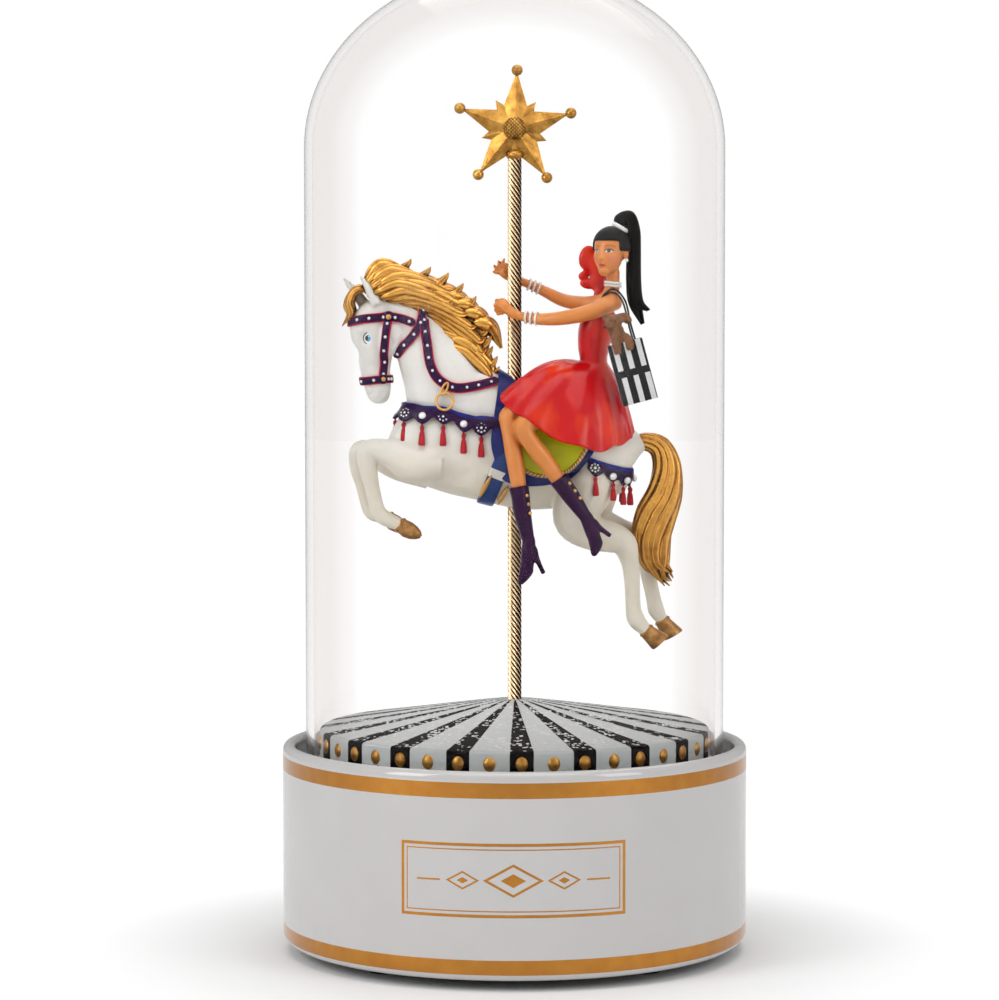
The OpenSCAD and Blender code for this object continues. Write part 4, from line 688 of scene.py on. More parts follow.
# Darker in the grooves, from the ambient-occlusion mask: partly the antique brown, partly painted shade that
# goes near black.
bright = (0.2 + 0.8 * rubbed) * hair_gold.shade_in_hollows(0.0016).soft(0.25, 0.95)
hair_gold.set(base_color=hair_gold.ramp(bright, (0.14, (0.035, 0.011, 0.002)), (0.40, (0.27, 0.10, 0.013)),
                                        (0.70, (0.70, 0.35, 0.07))), roughness=0.36 - 0.14 * rubbed)
hair_gold.bump(strand * 0.8 + 0.4 * hair_gold.grain(0.0006, 3), 0.00022)


def lock(bm, line, wave=0.0, sides=10, steps=7):
    """One tapering lock that waves to and fro across the horse."""
    rows = curve(line, steps)
    for i, row in enumerate(rows):
        t = i / (len(rows) - 1)
        row[1] += wave * sin(2 * pi * 1.3 * t)
        row[3] = max(row[3], 0.12)
        row[-1] = max(row[-1], 0.1)
    tube(bm, frames([[*at(r[:3]), *r[3:]] for r in rows]), sides)


def bunch(bm, spine, halves, count, twist, depth, thick, flick, steps):
    """A bunch of twisted locks round a spine; depth and thick give each lock's place and size."""
    for k in range(count):
        line = []
        for i, (spot, half) in enumerate(zip(spine, halves)):
            turn = 2 * pi * k / count + twist * i
            run = Vector(spine[min(i + 1, len(spine) - 1)]) - Vector(spine[max(i - 1, 0)])
            out = Vector((run.z, 0, -run.x)).normalized()
            away, deep = depth(k, half)
            point = Vector(spot) + out * away * cos(turn) + Vector((0, 1, 0)) * deep * sin(turn)
            line.append([*point, thick(half), thick(half)])
        line[-1][3:] = [0.15, 0.15]
        line[-1][0] += flick(k)[0]
        line[-1][2] += flick(k)[1]
        lock(bm, line, 0, 9, steps)
    bmesh.ops.recalc_face_normals(bm, faces=bm.faces)


mane_tips = [(-26.6, 53.6), (-21.6, 51.6), (-17, 50.1), (-13.2, 47.4), (-9.9, 44.1), (-8.2, 40.6), (-6.2, 37),
             (-5.9, 34), (-5.6, 31.2), (-4.4, 28.6), (-3.9, 26)]
mane_roots = [(-38.4, 46.0), (-37.8, 45.2), (-37, 44.2), (-35.6, 43.4), (-33.6, 43.2), (-31, 43.0),
              (-28.6, 42.6), (-26, 41.4), (-23.4, 39.6), (-20.4, 36.8), (-17.2, 33)]
bm = bmesh.new()
for side in (-1, 1):
    for k, (root, tip) in enumerate(zip(mane_roots, mane_tips)):
        y_out = side * (2.6 + 1.3 * sin(0.6 * k))
        reach = (tip[0] - root[0], tip[1] - root[1])
        hump = 3.4 - 0.2 * k
        up = -reach[1] / 26
        line = [[root[0], side * 1.2, root[1], 0.8, 0.9]]
        for t, push, width in ((0.16, 0.8, 1.6), (0.38, 0.9, 2.0), (0.62, 0.1, 1.9), (0.82, -0.9, 1.6)):
            line.append([root[0] + reach[0] * t + up * hump * push * 0.2, y_out * (1.0 if t < 0.8 else 0.75),
                         root[1] + reach[1] * t + hump * push, width * 0.66, width])
        line += [[tip[0] - 2.2, side * 1.7, tip[1] - 2.6, 0.9, 1.2],
                 [tip[0] - 0.7, side * 1.5, tip[1] - 1.1, 0.6, 0.7],
                 [tip[0], side * 1.4, tip[1], 0.12, 0.12]]
        lock(bm, line, 0.3 * side)
        low = [[r[0] - 0.5, r[1] + side * (1.0 if 0 < i < 6 else 0), r[2] - 1.9 * (i > 0),
                *[w * 0.8 for w in r[3:]]] for i, r in enumerate(line)]
        lock(bm, low, -0.35 * side)
for k in range(9):
    t = k / 8
    lock(bm, [[-36 + 24 * t, 0, 45.6 - 9 * t * t, 1.2, 1.2],
              [-33 + 24 * t, -0.4, 47.8 - 10.5 * t * t, 3.2, 2.2],
              [-28 + 22 * t, 0.3, 48.4 - 12.5 * t * t, 3.0, 2.2],
              [-23 + 19.6 * t, 0, 48.2 - 17.5 * t * t, 0.3, 0.4]])
for k, (x0, lift) in enumerate(((-39.4, 0), (-40, -0.6), (-38.8, 0.4))):
    lock(bm, [[x0 + 1.6, -1.4 + 1.2 * k, 46, 1, 0.8], [x0 - 1.6, -1.5 + 1.2 * k, 45.6 + lift, 1.5, 1.1],
              [x0 - 3.2, -1.5 + 1.1 * k, 42.4 + lift, 1.3, 1], [x0 - 2.6, -1.3 + k, 39.4, 0.9, 0.8],
              [x0 - 4.4, -1.2 + k, 37 + lift, 0.15, 0.15]])
bmesh.ops.recalc_face_normals(bm, faces=bm.faces)
finished("painted_mane", bm, "carousel", hair_gold, ["mane"], 60)

bm = bmesh.new()
tail_spine = [[30, 0, 5.6], [33.4, 0, 6.6], [37.4, 0, 5.2], [39.4, 0, 0.2], [38.8, 0, -6.4], [36.4, 0, -13],
              [35.4, 0, -19], [36.6, 0, -24.6], [39.2, 0, -28.8]]
tail_half = [0.9, 1.9, 2.6, 3.4, 4.3, 5.0, 4.8, 3.4, 0.8]
tail_rings = (0.62, 0.78)
bunch(bm, tail_spine, tail_half, 17, 0.30,
      lambda k, half: (half * tail_rings[k % 2], 2.3 * min(half / 3, 1) * tail_rings[k % 2]),
      lambda half: 0.5 + 0.22 * half, lambda k: (1.6 * sin(2.1 * k), 1.8 * cos(1.7 * k)), 5)
limb(bm, [[*s, 2.0 * min(h / 3, 1), h * 0.72] for s, h in zip(tail_spine[1:-1], tail_half[1:-1])])
bmesh.ops.recalc_face_normals(bm, faces=bm.faces)
finished("painted_tail", bm, "carousel", hair_gold, ["tail"], 60)


# ---- Bridle and collar: flat straps modelled on the horse and painted purple with a crimson edge,
# with a row of small pearls, turned rosettes where they cross, and a brass ring on the collar.
def cling(x, z, side, lift=0.0):
    """The spot on the horse's side at x, z, and the way that its skin faces there."""
    spot, way = horse_skin.ray_cast(at((x, 0, z)), Vector((0, side, 0)))[:2]
    if spot is None or way.y * side < 0.1:
        spot, way = horse_skin.find_nearest(at((x, 0.6 * side, z)))[:2]
    return spot + way * lift / 1000, way


def fan(x, z, turn, lift=0.0):
    """The spot that a level ray from x, z meets; turn is measured from -X through -Y."""
    ray = Vector((-cos(radians(turn)), -sin(radians(turn)), 0))
    spot, way = horse_skin.ray_cast(at((x, 0, z)), ray)[:2]
    return spot + way * lift / 1000, way


def strap(bm, spots, width, thick, square=0.55):
    """A flat strap that lies on spots of the skin."""
    for _ in range(3):
        spots = [spots[0]] + [((a[0] + b[0] * 2 + c[0]) / 4, (a[1] + b[1] * 2 + c[1]).normalized())
                              for a, b, c in zip(spots, spots[1:], spots[2:])] + [spots[-1]]
    places = []
    for i, (spot, way) in enumerate(spots):
        run = (spots[min(i + 1, len(spots) - 1)][0] - spots[max(i - 1, 0)][0]).normalized()
        up = (way - run * way.dot(run)).normalized()
        end = min(i, len(spots) - 1 - i)
        narrow = (0.35, 0.8, 1.0)[min(end, 2)]
        places.append(Matrix((run.cross(up), up, run)).transposed().to_4x4()
                      @ Matrix.Diagonal((width * narrow / 2000, thick / 2000, 1, 1)))
        places[-1].translation = spot + up * thick * 0.25 / 1000
    tube(bm, places, 16, square)
    return spots


beads = {}


def bead(bm, spot, radius, way=None, flat=1.0, detail=(10, 6)):
    """A small ball, flattened along way, that is copied from one of its kind."""
    if detail not in beads:
        ball = bmesh.new()
        bmesh.ops.create_uvsphere(ball, u_segments=detail[0], v_segments=detail[1], radius=1)
        beads[detail] = bpy.data.meshes.new("bead")
        ball.to_mesh(beads[detail])
        ball.free()
    lay = Matrix.Identity(4) if way is None else way.to_track_quat("Z", "Y").to_matrix().to_4x4()
    mesh = beads[detail].copy()
    mesh.transform(Matrix.Translation(spot) @ lay
                   @ Matrix.Diagonal((radius / 1000, radius / 1000, radius * flat / 1000, 1)))
    bm.from_mesh(mesh)
    bpy.data.meshes.remove(mesh)


def pearl_row(bm, spots, gap=3.4, radius=0.42, start=1.7):
    walked, due = 0.0, start
    for (a, _), (b, way) in zip(spots, spots[1:]):
        walked += (b - a).length * 1000
        if walked >= due:
            bead(bm, b + way * 0.0005, radius)
            due += gap


def rosette(discs, centres, spot, way, radius):
    bead(discs, spot + way * 0.0004, radius, way, 0.45, (20, 8))
    bead(centres, spot + way * 0.0009, radius * 0.5, way, 0.6, (14, 8))


purple = Surface("purple_enamel", specular_ior_level=0.12, coat_weight=0.08, coat_roughness=0.2)
edge = purple.attribute("around").maths("ABSOLUTE").soft(0.64, 0.73)
brush = purple.grain(0.0016, 3)
purple.set(base_color=purple.mix(edge, purple.mix(brush, (0.014, 0.001, 0.028), (0.036, 0.004, 0.05)),
                                 purple.mix(brush, (0.48, 0.006, 0.035), (0.68, 0.02, 0.06))),
           roughness=0.32 + 0.15 * brush)
purple.bump(edge * 0.7 + 0.4 * brush, 0.00009)
pearl = Surface("pearl_paint", base_color=(0.86, 0.84, 0.80), coat_weight=0.5, coat_roughness=0.1)
pearl.set(roughness=0.22 + 0.12 * pearl.grain(0.0005))
ring_gold = Surface("bridle_gold", metallic=0.8)
ring_gold.set(base_color=ring_gold.mix(ring_gold.grain(0.0012, 3), (0.45, 0.2, 0.05), (0.85, 0.48, 0.14)),
              roughness=0.3 + 0.1 * ring_gold.grain(0.0008)).bump(ring_gold.grain(0.0005, 2), 0.00003)

cheek_top, cheek_foot = (-32.2, 39), (-34.1, 22.8)
brow = [(-25.4, 36.9), (-28.6, 38.3), cheek_top, (-34.8, 38.6), (-38.6, 38.2), (-41.2, 37.6), (-42.4, 37.2)]
nose = [(-31.8, 22.8), (-34.1, 22.7), (-36.4, 22.5), (-38.6, 22.3), (-39.6, 22.3)]
latch = [(-30.4, 28.9), (-28.6, 31), (-26.2, 33.6), (-24.4, 36.5), (-23.7, 39.4), (-23.6, 42.6)]
collar = [(-4.4, 22.4), (-7.2, 21.6), (-10.6, 20.9), (-15.4, 20.6), (-19.4, 22.8), (-21.5, 26.6),
          (-22.3, 31.4), (-23, 35.4), (-23.4, 38.6)]
straps, pearls, collars, rosettes = bmesh.new(), bmesh.new(), bmesh.new(), bmesh.new()


def both_sides(path, lift=0.3):
    """Up the near side along a path and down the far side."""
    near, far = ([cling(x, z, side, lift) for x, z in curve(path, 8)] for side in (-1, 1))
    return near + far[::-1][1:]


for path in (brow, latch):
    pearl_row(pearls, strap(straps, both_sides(path), 2.4, 0.8))
loop = both_sides(nose)
pearl_row(pearls, strap(straps, loop + loop[:3], 2.2, 0.8))
pearl_row(pearls, strap(collars, both_sides(collar), 2.6, 0.9))
for side in (-1, 1):
    cheek = [cling(x, z, side, 0.3) for x, z in curve([cheek_top, (-33, 33), (-33.6, 28), cheek_foot], 8)]
    pearl_row(pearls, strap(straps, cheek, 2.3, 0.8))
    rosette(straps, rosettes, *cling(*cheek_top, side, 0.6), 1.5)
    rosette(straps, rosettes, *cling(-34.1, 22.7, side, 0.6), 1.25)
finished("bridle_straps", straps, "carousel", purple, ["bridle"], 50)
finished("collar", collars, "carousel", purple, ["neck_collar"], 50)
finished("rosette_centres", rosettes, "carousel", ring_gold, [], 60)

bm = bmesh.new()
hang, way = cling(-17.8, 19.6, -1, 0.9)
hoop = [hang + Vector((0.0022 * sin(a), -0.0006 + 0.0004 * cos(a), -0.0024 + 0.0022 * cos(a)))
        for a in [2 * pi * k / 28 for k in range(30)]]
tube(bm, frames([[*p, 0.34] for p in hoop]), 10)
eye = [hang + Vector((0.0011 * sin(a) * 0.6 + 0.0006 * cos(a), -0.0003, 0.0008 + 0.0015 * cos(a)))
       for a in [2 * pi * k / 20 for k in range(22)]]
tube(bm, frames([[*p, 0.3] for p in eye]), 8)
finished("collar_ring", bm, "carousel", ring_gold, ["rein_ring"], 60)

# ---- Breast band and crupper: broad scalloped bands in relief, painted purple under a navy edge,
# with round pearls and plain beaded rosettes in turn, and a red tassel under each.
band_paint = Surface("band_enamel", specular_ior_level=0.12, coat_weight=0.08, coat_roughness=0.2)
brush = band_paint.grain(0.0016, 3)
rim = band_paint.attribute("across").soft(0.25, 0.2)
violet = band_paint.mix(brush, (0.014, 0.002, 0.032), (0.032, 0.005, 0.05))
blue = band_paint.mix(brush, (0.008, 0.012, 0.15), (0.018, 0.025, 0.26))
band_paint.set(base_color=band_paint.mix(rim, violet, blue), roughness=0.3 + 0.15 * brush)
band_paint.bump(brush + rim, 0.00006)
red = Surface("tassel_red", specular_ior_level=0.3)
threads = (red.attribute("around").maths("ARCCOSINE") * 14).maths("SINE") * 0.5 + 0.5
red.set(base_color=red.mix(threads * 0.6 + 0.4 * red.grain(0.001), (0.36, 0.004, 0.012), (0.72, 0.018, 0.03)),
        roughness=0.38)
red.bump(threads, 0.0001)
beaded = Surface("beaded_silver", base_color=(0.8, 0.8, 0.78), metallic=0.4)
beaded.set(roughness=0.25 + 0.2 * beaded.grain(0.0006)).bump(beaded.grain(0.0004), 0.00004)


def profile(table, x):
    """Straight lines through (x, value) pairs."""
    for (x0, v0), (x1, v1) in zip(table, table[1:]):
        if x0 <= x <= x1:
            return v0 + (v1 - v0) * (x - x0) / (x1 - x0)
    return table[0][1] if x < table[0][0] else table[-1][1]


def band(bm, columns, tops, drop, drops_at):
    """A scalloped band: each column gives its spot on the skin at a height."""
    across = bm.verts.layers.float.get("across") or bm.verts.layers.float.new("across")
    mids = [column(top - drop / 2)[0] for column, top in zip(columns, tops)]
    reach = [0.0]
    for a, b in zip(mids, mids[1:]):
        reach.append(reach[-1] + (b - a).length * 1000)
    marks = [reach[i] for i in drops_at]
    old = set(bm.verts)
    bmesh.ops.create_grid(bm, x_segments=len(columns) - 1, y_segments=8, size=0.5)
    for v in [v for v in bm.verts if v not in old]:
        i, t = round((v.co.x + 0.5) * (len(columns) - 1)), 0.5 - v.co.y
        near = min(abs(reach[i] - m) for m in marks)
        deep = drop * (0.62 + 0.38 * max(0.0, 1 - (near / 2.3) ** 1.4))
        swell = 0.55 + 0.35 * sin(pi * min(max(t, 0.02), 0.98))
        v.co = columns[i](tops[i] - t * deep, swell)[0]
        v[across] = t
    faces = [f for f in bm.faces if all(v not in old for v in f.verts)]
    bmesh.ops.recalc_face_normals(bm, faces=faces)
    bmesh.ops.solidify(bm, geom=faces, thickness=0.0008)


def tassel(bm, column, high, drop, size=1.0):
    """A knotted cord with a skirt of threads, which hangs against the skin."""
    top, foot = column(high, 0.7)[0], column(high - drop, 0.9)[0]
    if (foot.xy - top.xy).length > 0.0016:
        foot = top - Vector((0, 0, drop / 1000))
    rows = [(0, 0.22), (0.08, 0.25), (0.12, 0.5), (0.2, 0.62), (0.28, 0.48), (0.34, 0.4), (0.44, 0.62),
            (0.7, 0.8), (0.95, 0.86), (1.0, 0.7)]
    line = [[*(top + (foot - top) * t), r * size, r * size * 0.8] for t, r in rows]
    tube(bm, frames(line, (1, 0, 0)), 14)


def hung_band(side_x, pivot, turns, top_line, drop, near_marks, mark_down, tassel_down, tassel_size, medal):
    """A band round the horse with a medal and a tassel on each scallop. It runs along the near side,
    round the end through rays from a pivot (x, radius), and back along the far side."""
    bm = bmesh.new()
    columns = [lambda z, lift=0.0, x=x: cling(x, z, -1, lift) for x in side_x]
    columns += [lambda z, lift=0.0, turn=turn: fan(pivot[0], z, turn, lift) for turn in turns]
    columns += [lambda z, lift=0.0, x=x: cling(x, z, 1, lift) for x in side_x[::-1]]
    sides = [profile(top_line, x) for x in side_x]
    ends = [profile(top_line, pivot[0] - pivot[1] * cos(radians(turn))) for turn in turns]
    tops = sides + ends + sides[::-1]
    marks = near_marks + [len(columns) - 1 - i for i in near_marks[::-1] if i != len(columns) - 1 - i]
    band(bm, columns, tops, drop, marks)
    for n, i in enumerate(marks):
        spot, way = columns[i](tops[i] - mark_down, 1.1)
        round_pearl, disc, ring_r, small, centre = medal(n)
        if disc:
            bead(medal_discs, spot - way * 0.0002, disc, way, 0.3, (20, 6))
        if round_pearl:
            bead(medals, spot + way * 0.0003, round_pearl, way, 0.7, (16, 10))
        else:
            lay = way.to_track_quat("Z", "Y")
            for k in range(8):
                ring = lay @ Vector((ring_r * cos(k * pi / 4), ring_r * sin(k * pi / 4), 0.0003))
                bead(medals, spot + ring, small, way, 1.0, (8, 5))
            bead(medals, spot + way * 0.0003, centre, way, 0.7, (12, 7))
        tassel(tassels, columns[i], tops[i] - tassel_down, *tassel_size)
    return bm


black_enamel = Surface("black_enamel", roughness=0.22, specular_ior_level=0.35)
black_enamel.set(base_color=black_enamel.mix(black_enamel.grain(0.002), (0.012, 0.01, 0.014),
                                             (0.035, 0.03, 0.036)))
black_enamel.bump(black_enamel.grain(0.0006, 3), 0.00003)
medals, medal_discs, tassels = bmesh.new(), bmesh.new(), bmesh.new()
chest_bm = hung_band(
    [-4 - 0.75 * k for k in range(24)], (-22, 9), [84 - 6 * k for k in range(29)],
    [(-31, 16.8), (-24, 16.0), (-18, 15.9), (-15, 14.6), (-10, 13.1), (-4, 13)], 4.8, [6, 12, 19, 25, 31, 38],
    3.0, 4.6, (5.4,),
    lambda n: (1.0, 1.35, 0, 0, 0) if n in (1, 3, 7, 9) else (0, 1.5, 0.00112, 0.3, 0.5))
crupper_bm = hung_band(
    [18.6 + 0.6 * k for k in range(9)], (23, 8.6), [96 + 6 * k for k in range(29)],
    [(18, 3.4), (24, 1.4), (28, 0.4), (32, -0.2)], 4.6, [3, 10, 15, 20], 2.8, 4.3, (5, 0.95),
    lambda n: (0, 1.4, 0.00105, 0.28, 0.45) if n in (0, 7) else (0.95, 0, 0, 0, 0))
finished("chest_band", chest_bm, "carousel", band_paint, ["breast_band"], 50)
finished("crupper_band", crupper_bm, "carousel", band_paint, ["crupper"], 50)
finished("medal_discs", medal_discs, "carousel", black_enamel, [], 60)
finished("medal_pearls", medals, "carousel", beaded, [], 60)
finished("red_tassels", tassels, "carousel", red, ["tassels"], 60)

# ---- Saddle cloth, saddle and girth: layers modelled on the back. The cloth is painted navy, the
# saddle lime green with a gold braid, and the girth closes between two brass bars.
def layer(points, outer, inner):
    """The part of a shell round the horse that lies inside an outline on its side."""
    horse, shells = bpy.data.objects["horse"], []
    for lift in (outer, inner):
        shell = bpy.data.objects.new("shell", horse.data.copy())
        bpy.context.scene.collection.objects.link(shell)
        for v, way in zip(shell.data.vertices, [v.normal.copy() for v in shell.data.vertices]):
            v.co += way * lift / 1000
        shells.append(shell)
    prism = bmesh.new()
    verts = [prism.verts.new(at((x, -15, z))) for x, z in points]
    face = prism.faces.new(verts)
    wall = bmesh.ops.extrude_face_region(prism, geom=[face])["geom"]
    bmesh.ops.translate(prism, vec=(0, 0.03, 0), verts=[v for v in wall if isinstance(v, bmesh.types.BMVert)])
    bmesh.ops.recalc_face_normals(prism, faces=prism.faces)
    mesh = bpy.data.meshes.new("prism")
    prism.to_mesh(mesh)
    prism.free()
    cut = bpy.data.objects.new("prism", mesh)
    bpy.context.scene.collection.objects.link(cut)
    for shell, operation in zip(shells, ("INTERSECT", "DIFFERENCE")):
        step = cut.modifiers.new("step", "BOOLEAN")
        step.object, step.operation, step.solver = shell, operation, "MANIFOLD"
    grown = bmesh.new()
    grown.from_object(cut, bpy.context.evaluated_depsgraph_get())
    for spare in (*shells, cut):
        bpy.data.objects.remove(spare)
    return grown


cloth_edge = curve([[-4.6, 30], [-4.2, 22], [-5.2, 14], [-6, 6.6], [-4.4, 0.4], [-2.4, -3.2], [3, -4.4],
                    [9.4, -4.0], [14.6, -2.2], [19, 2.6], [21.4, 6.8], [23.2, 12], [23.4, 30]], 6)
saddle_edge = curve([[4.4, 30], [4.0, 22], [1.4, 14], [-1.2, 7], [0, 2.6], [3.2, -0.4], [7.9, -1.4],
                     [12.4, -0.6], [15.4, 1.2], [18, 4.8], [20, 10], [20.2, 30]], 6)
navy = Surface("navy_enamel", specular_ior_level=0.3, coat_weight=0.06)
navy.set(base_color=navy.mix(navy.grain(0.003, 3), (0.004, 0.008, 0.09), (0.010, 0.018, 0.17)),
         roughness=0.36)
navy.bump(navy.grain(0.0008, 3), 0.00006)
finished("navy_cloth", layer(cloth_edge, 0.9, -0.2), "carousel", navy, ["saddle_cloth"], 50)
lime = Surface("lime_enamel", specular_ior_level=0.15, coat_weight=0.15, coat_roughness=0.15)
tone = lime.grain(0.006, 2)
lime.set(base_color=lime.mix(tone, (0.52, 0.57, 0.002), (0.72, 0.75, 0.003)), roughness=0.28)
lime.bump(lime.grain(0.0015, 2), 0.00005)
finished("green_saddle", layer(saddle_edge, 1.7, 0.6), "carousel", lime, ["saddle"], 50)
braid = Surface("gold_braid", metallic=0.6)
plait = (braid.attribute("along") * 260 + braid.attribute("around") * 2).maths("SINE") * 0.5 + 0.5
braid.set(base_color=braid.mix(plait, (0.35, 0.16, 0.04), (0.78, 0.50, 0.20)), roughness=0.4)
braid.bump(plait, 0.00012)
bm = bmesh.new()
for side in (-1, 1):
    strap(bm, [cling(x, min(z, 20), side, 1.3) for x, z in saddle_edge[8:-8]], 1.1, 1.2, 0.8)
finished("saddle_braid", bm, "carousel", braid, [], 50)

bm = bmesh.new()
around_belly = []
for k in range(41):
    a = radians(-16 + 212 * k / 40)
    ray = Vector((-0.39 * sin(a), -cos(a), -0.92 * sin(a)))
    spot, way = horse_skin.ray_cast(at((-3.2, 0, 1.5)), ray)[:2]
    around_belly.append((spot + way * 0.0003, way))
strap(bm, around_belly, 4.4, 0.9, 0.5)
girth_paint = Surface("girth_enamel", specular_ior_level=0.3, coat_weight=0.06)
worn = girth_paint.grain(0.003, 3)
bare = girth_paint.attribute("along").band(0.135, 0.205)
painted = girth_paint.mix(worn, (0.01, 0.03, 0.13), (0.02, 0.055, 0.22))
girth_paint.set(base_color=girth_paint.mix(bare, painted, (0.72, 0.70, 0.64)), roughness=0.36)
girth_paint.bump(worn, 0.00006)
finished("navy_girth", bm, "carousel", girth_paint, ["girth"], 50)
bm = bmesh.new()
for side in (-1, 1):
    for a, b in (((-5.9, -1.4), (-8.8, -6.6)), ((-1.6, -4.2), (-4.1, -8.4))):
        ends = [cling(*p, side, 0.7) for p in (a, b)]
        way = (ends[0][1] + ends[1][1]).normalized()
        strap(bm, [(ends[0][0].lerp(ends[1][0], k / 6), way) for k in range(7)], 1.15, 1.2, 0.6)
finished("girth_bars", bm, "carousel", ring_gold, ["girth_buckle"], 50)

# ---- Rider: cast resin in a satin tan paint, seated sideways with both hands at the pole. The face
# is a plain, calm one on even proportions.
skin = Surface("skin_paint", coat_weight=0.15, coat_roughness=0.3)
wash = skin.grain(0.004, 3)
tan = skin.mix(wash, (0.64, 0.19, 0.028), (0.75, 0.27, 0.05))
# Darker, browner tan in the creases, from the ambient-occlusion mask: painted shade.
tan = skin.mix(1 - skin.shade_in_hollows(0.003).soft(0.2, 0.9), tan, (0.46, 0.09, 0.012))
head_at, head_turn, head_nod = (24.7, -2.2, 55.4), 33, 3
look = (Matrix.Translation(at(head_at))
        @ Euler((radians(-head_nod), 0, radians(-head_turn))).to_matrix().to_4x4())


def oval(right, up, centre, half):
    """How far a point is from an oval's middle, 1 on its rim."""
    return (((right - centre[0]) / half[0]).maths("POWER", 2)
            + ((up - centre[1]) / half[1]).maths("POWER", 2)).maths("SQRT")


right, fore, up = skin.inside(look)
front = 0 - fore > 1.5
mirrored = right.maths("ABSOLUTE")
face = tan
# The rows paint a blush on the cheeks, a darker brown patch over each eye, the white of the eye, the iris,
# the pupil and a small white glint, a painted highlight.
for centre, half, colour, low, high, amount in (
        ((2.5, -1.9), (1.9, 1.5), (0.74, 0.17, 0.11), 0.1, 1.0, 0.6),
        ((1.85, 0.75), (1.15, 0.55), (0.42, 0.13, 0.06), 0.4, 1.0, 0.5),
        ((1.82, -0.02), (0.88, 0.38), (0.74, 0.71, 0.67), 0.85, 1.0, 1.0),
        ((1.80, 0.04), (0.46, 0.44), (0.06, 0.03, 0.015), 0.85, 1.0, 1.0),
        ((1.80, 0.04), (0.24, 0.24), (0.003, 0.002, 0.002), 0.8, 1.0, 1.0),
        ((1.64, 0.2), (0.08, 0.08), (0.95, 0.95, 0.95), 0.7, 1.0, 1.0)):
    mark = (1 - oval(mirrored, up, centre, half).soft(low, high)) * front * amount
    face = skin.mix(mark, face, colour)
lid = oval(mirrored, up, (1.82, -0.3), (1.15, 0.82)).band(0.80, 1.10) * (up > 0.02)
brow_line = oval(mirrored, up, (1.95, 0.0), (1.55, 1.6)).band(0.90, 1.04) * (up > 0.95)
lips = 1 - oval(right, up, (0, -3.62), (1.12, 0.42)).soft(0.85, 1.0)
seam = oval(right, up, (0, -3.62), (1.0, 0.07)) < 1
for mark, colour in ((lid * front, (0.03, 0.014, 0.01)), (brow_line * front * 0.85, (0.07, 0.03, 0.02)),
                     (lips * front, (0.60, 0.03, 0.03)), (seam * front, (0.30, 0.012, 0.012))):
    face = skin.mix(mark, face, colour)
skin.set(base_color=face, roughness=0.36 + 0.1 * wash)
skin.bump(skin.grain(0.0007, 2), 0.00003)

bm = bmesh.new()
limb(bm, [[19.4, -2, 18.6, 5.2, 4.6], [19.8, -2, 23, 4.8, 4.2], [20.3, -2, 27.5, 3.6, 3],
          [21, -2, 34.5, 4.6, 3.5], [22.8, -1.6, 41, 5.4, 2.9], [24.6, -1.4, 44.4, 2.8, 2.2],
          [25.2, -1.8, 47.6, 1.75, 1.8], [25.2, -2, 51, 1.7, 1.8]], 20, 6, (0.3, 1, 0))
for line in (
        [[26, -4.8, 42.8, 2.2], [23.4, -7, 41.8, 2.3], [19, -8, 40, 2.1], [12.7, -8, 38.6, 1.85],
         [7, -6, 38.2, 1.55], [3, -4.8, 38.7, 1.25], [0.6, -4.4, 39.3, 1.15], [-1.2, -3.9, 40.2, 1.45]],
        [[22.8, 2.6, 42.6, 2.1], [18, 4.8, 42.2, 1.9], [12.7, 5.4, 43, 1.75], [8, 4.8, 45.2, 1.45],
         [4.6, 4.2, 46.8, 1.2], [2, 4, 47.8, 1.1], [0.4, 3.9, 48.6, 1.15]],
        [[18, -4.6, 20.6, 4.4], [10, -10.4, 16.8, 3.7], [3.0, -15.2, 11.8, 2.8], [2.4, -15.8, 10.2, 2.5],
         [4.4, -15.6, 6.8, 2.3], [7, -15.2, 3.4, 2.4], [11.2, -14.9, -2.4, 1.9]],
        [[16, -3, 21.4, 4.2], [6, -8.4, 17.4, 3.5], [-0.9, -11.8, 14, 2.7], [-1.4, -12.6, 12, 2.4],
         [-1.0, -13.2, 8.4, 2.1], [-0.2, -13.6, 4.4, 2.3], [1.2, -14.2, -5, 1.9]]):
    limb(bm, line, 18, 6)
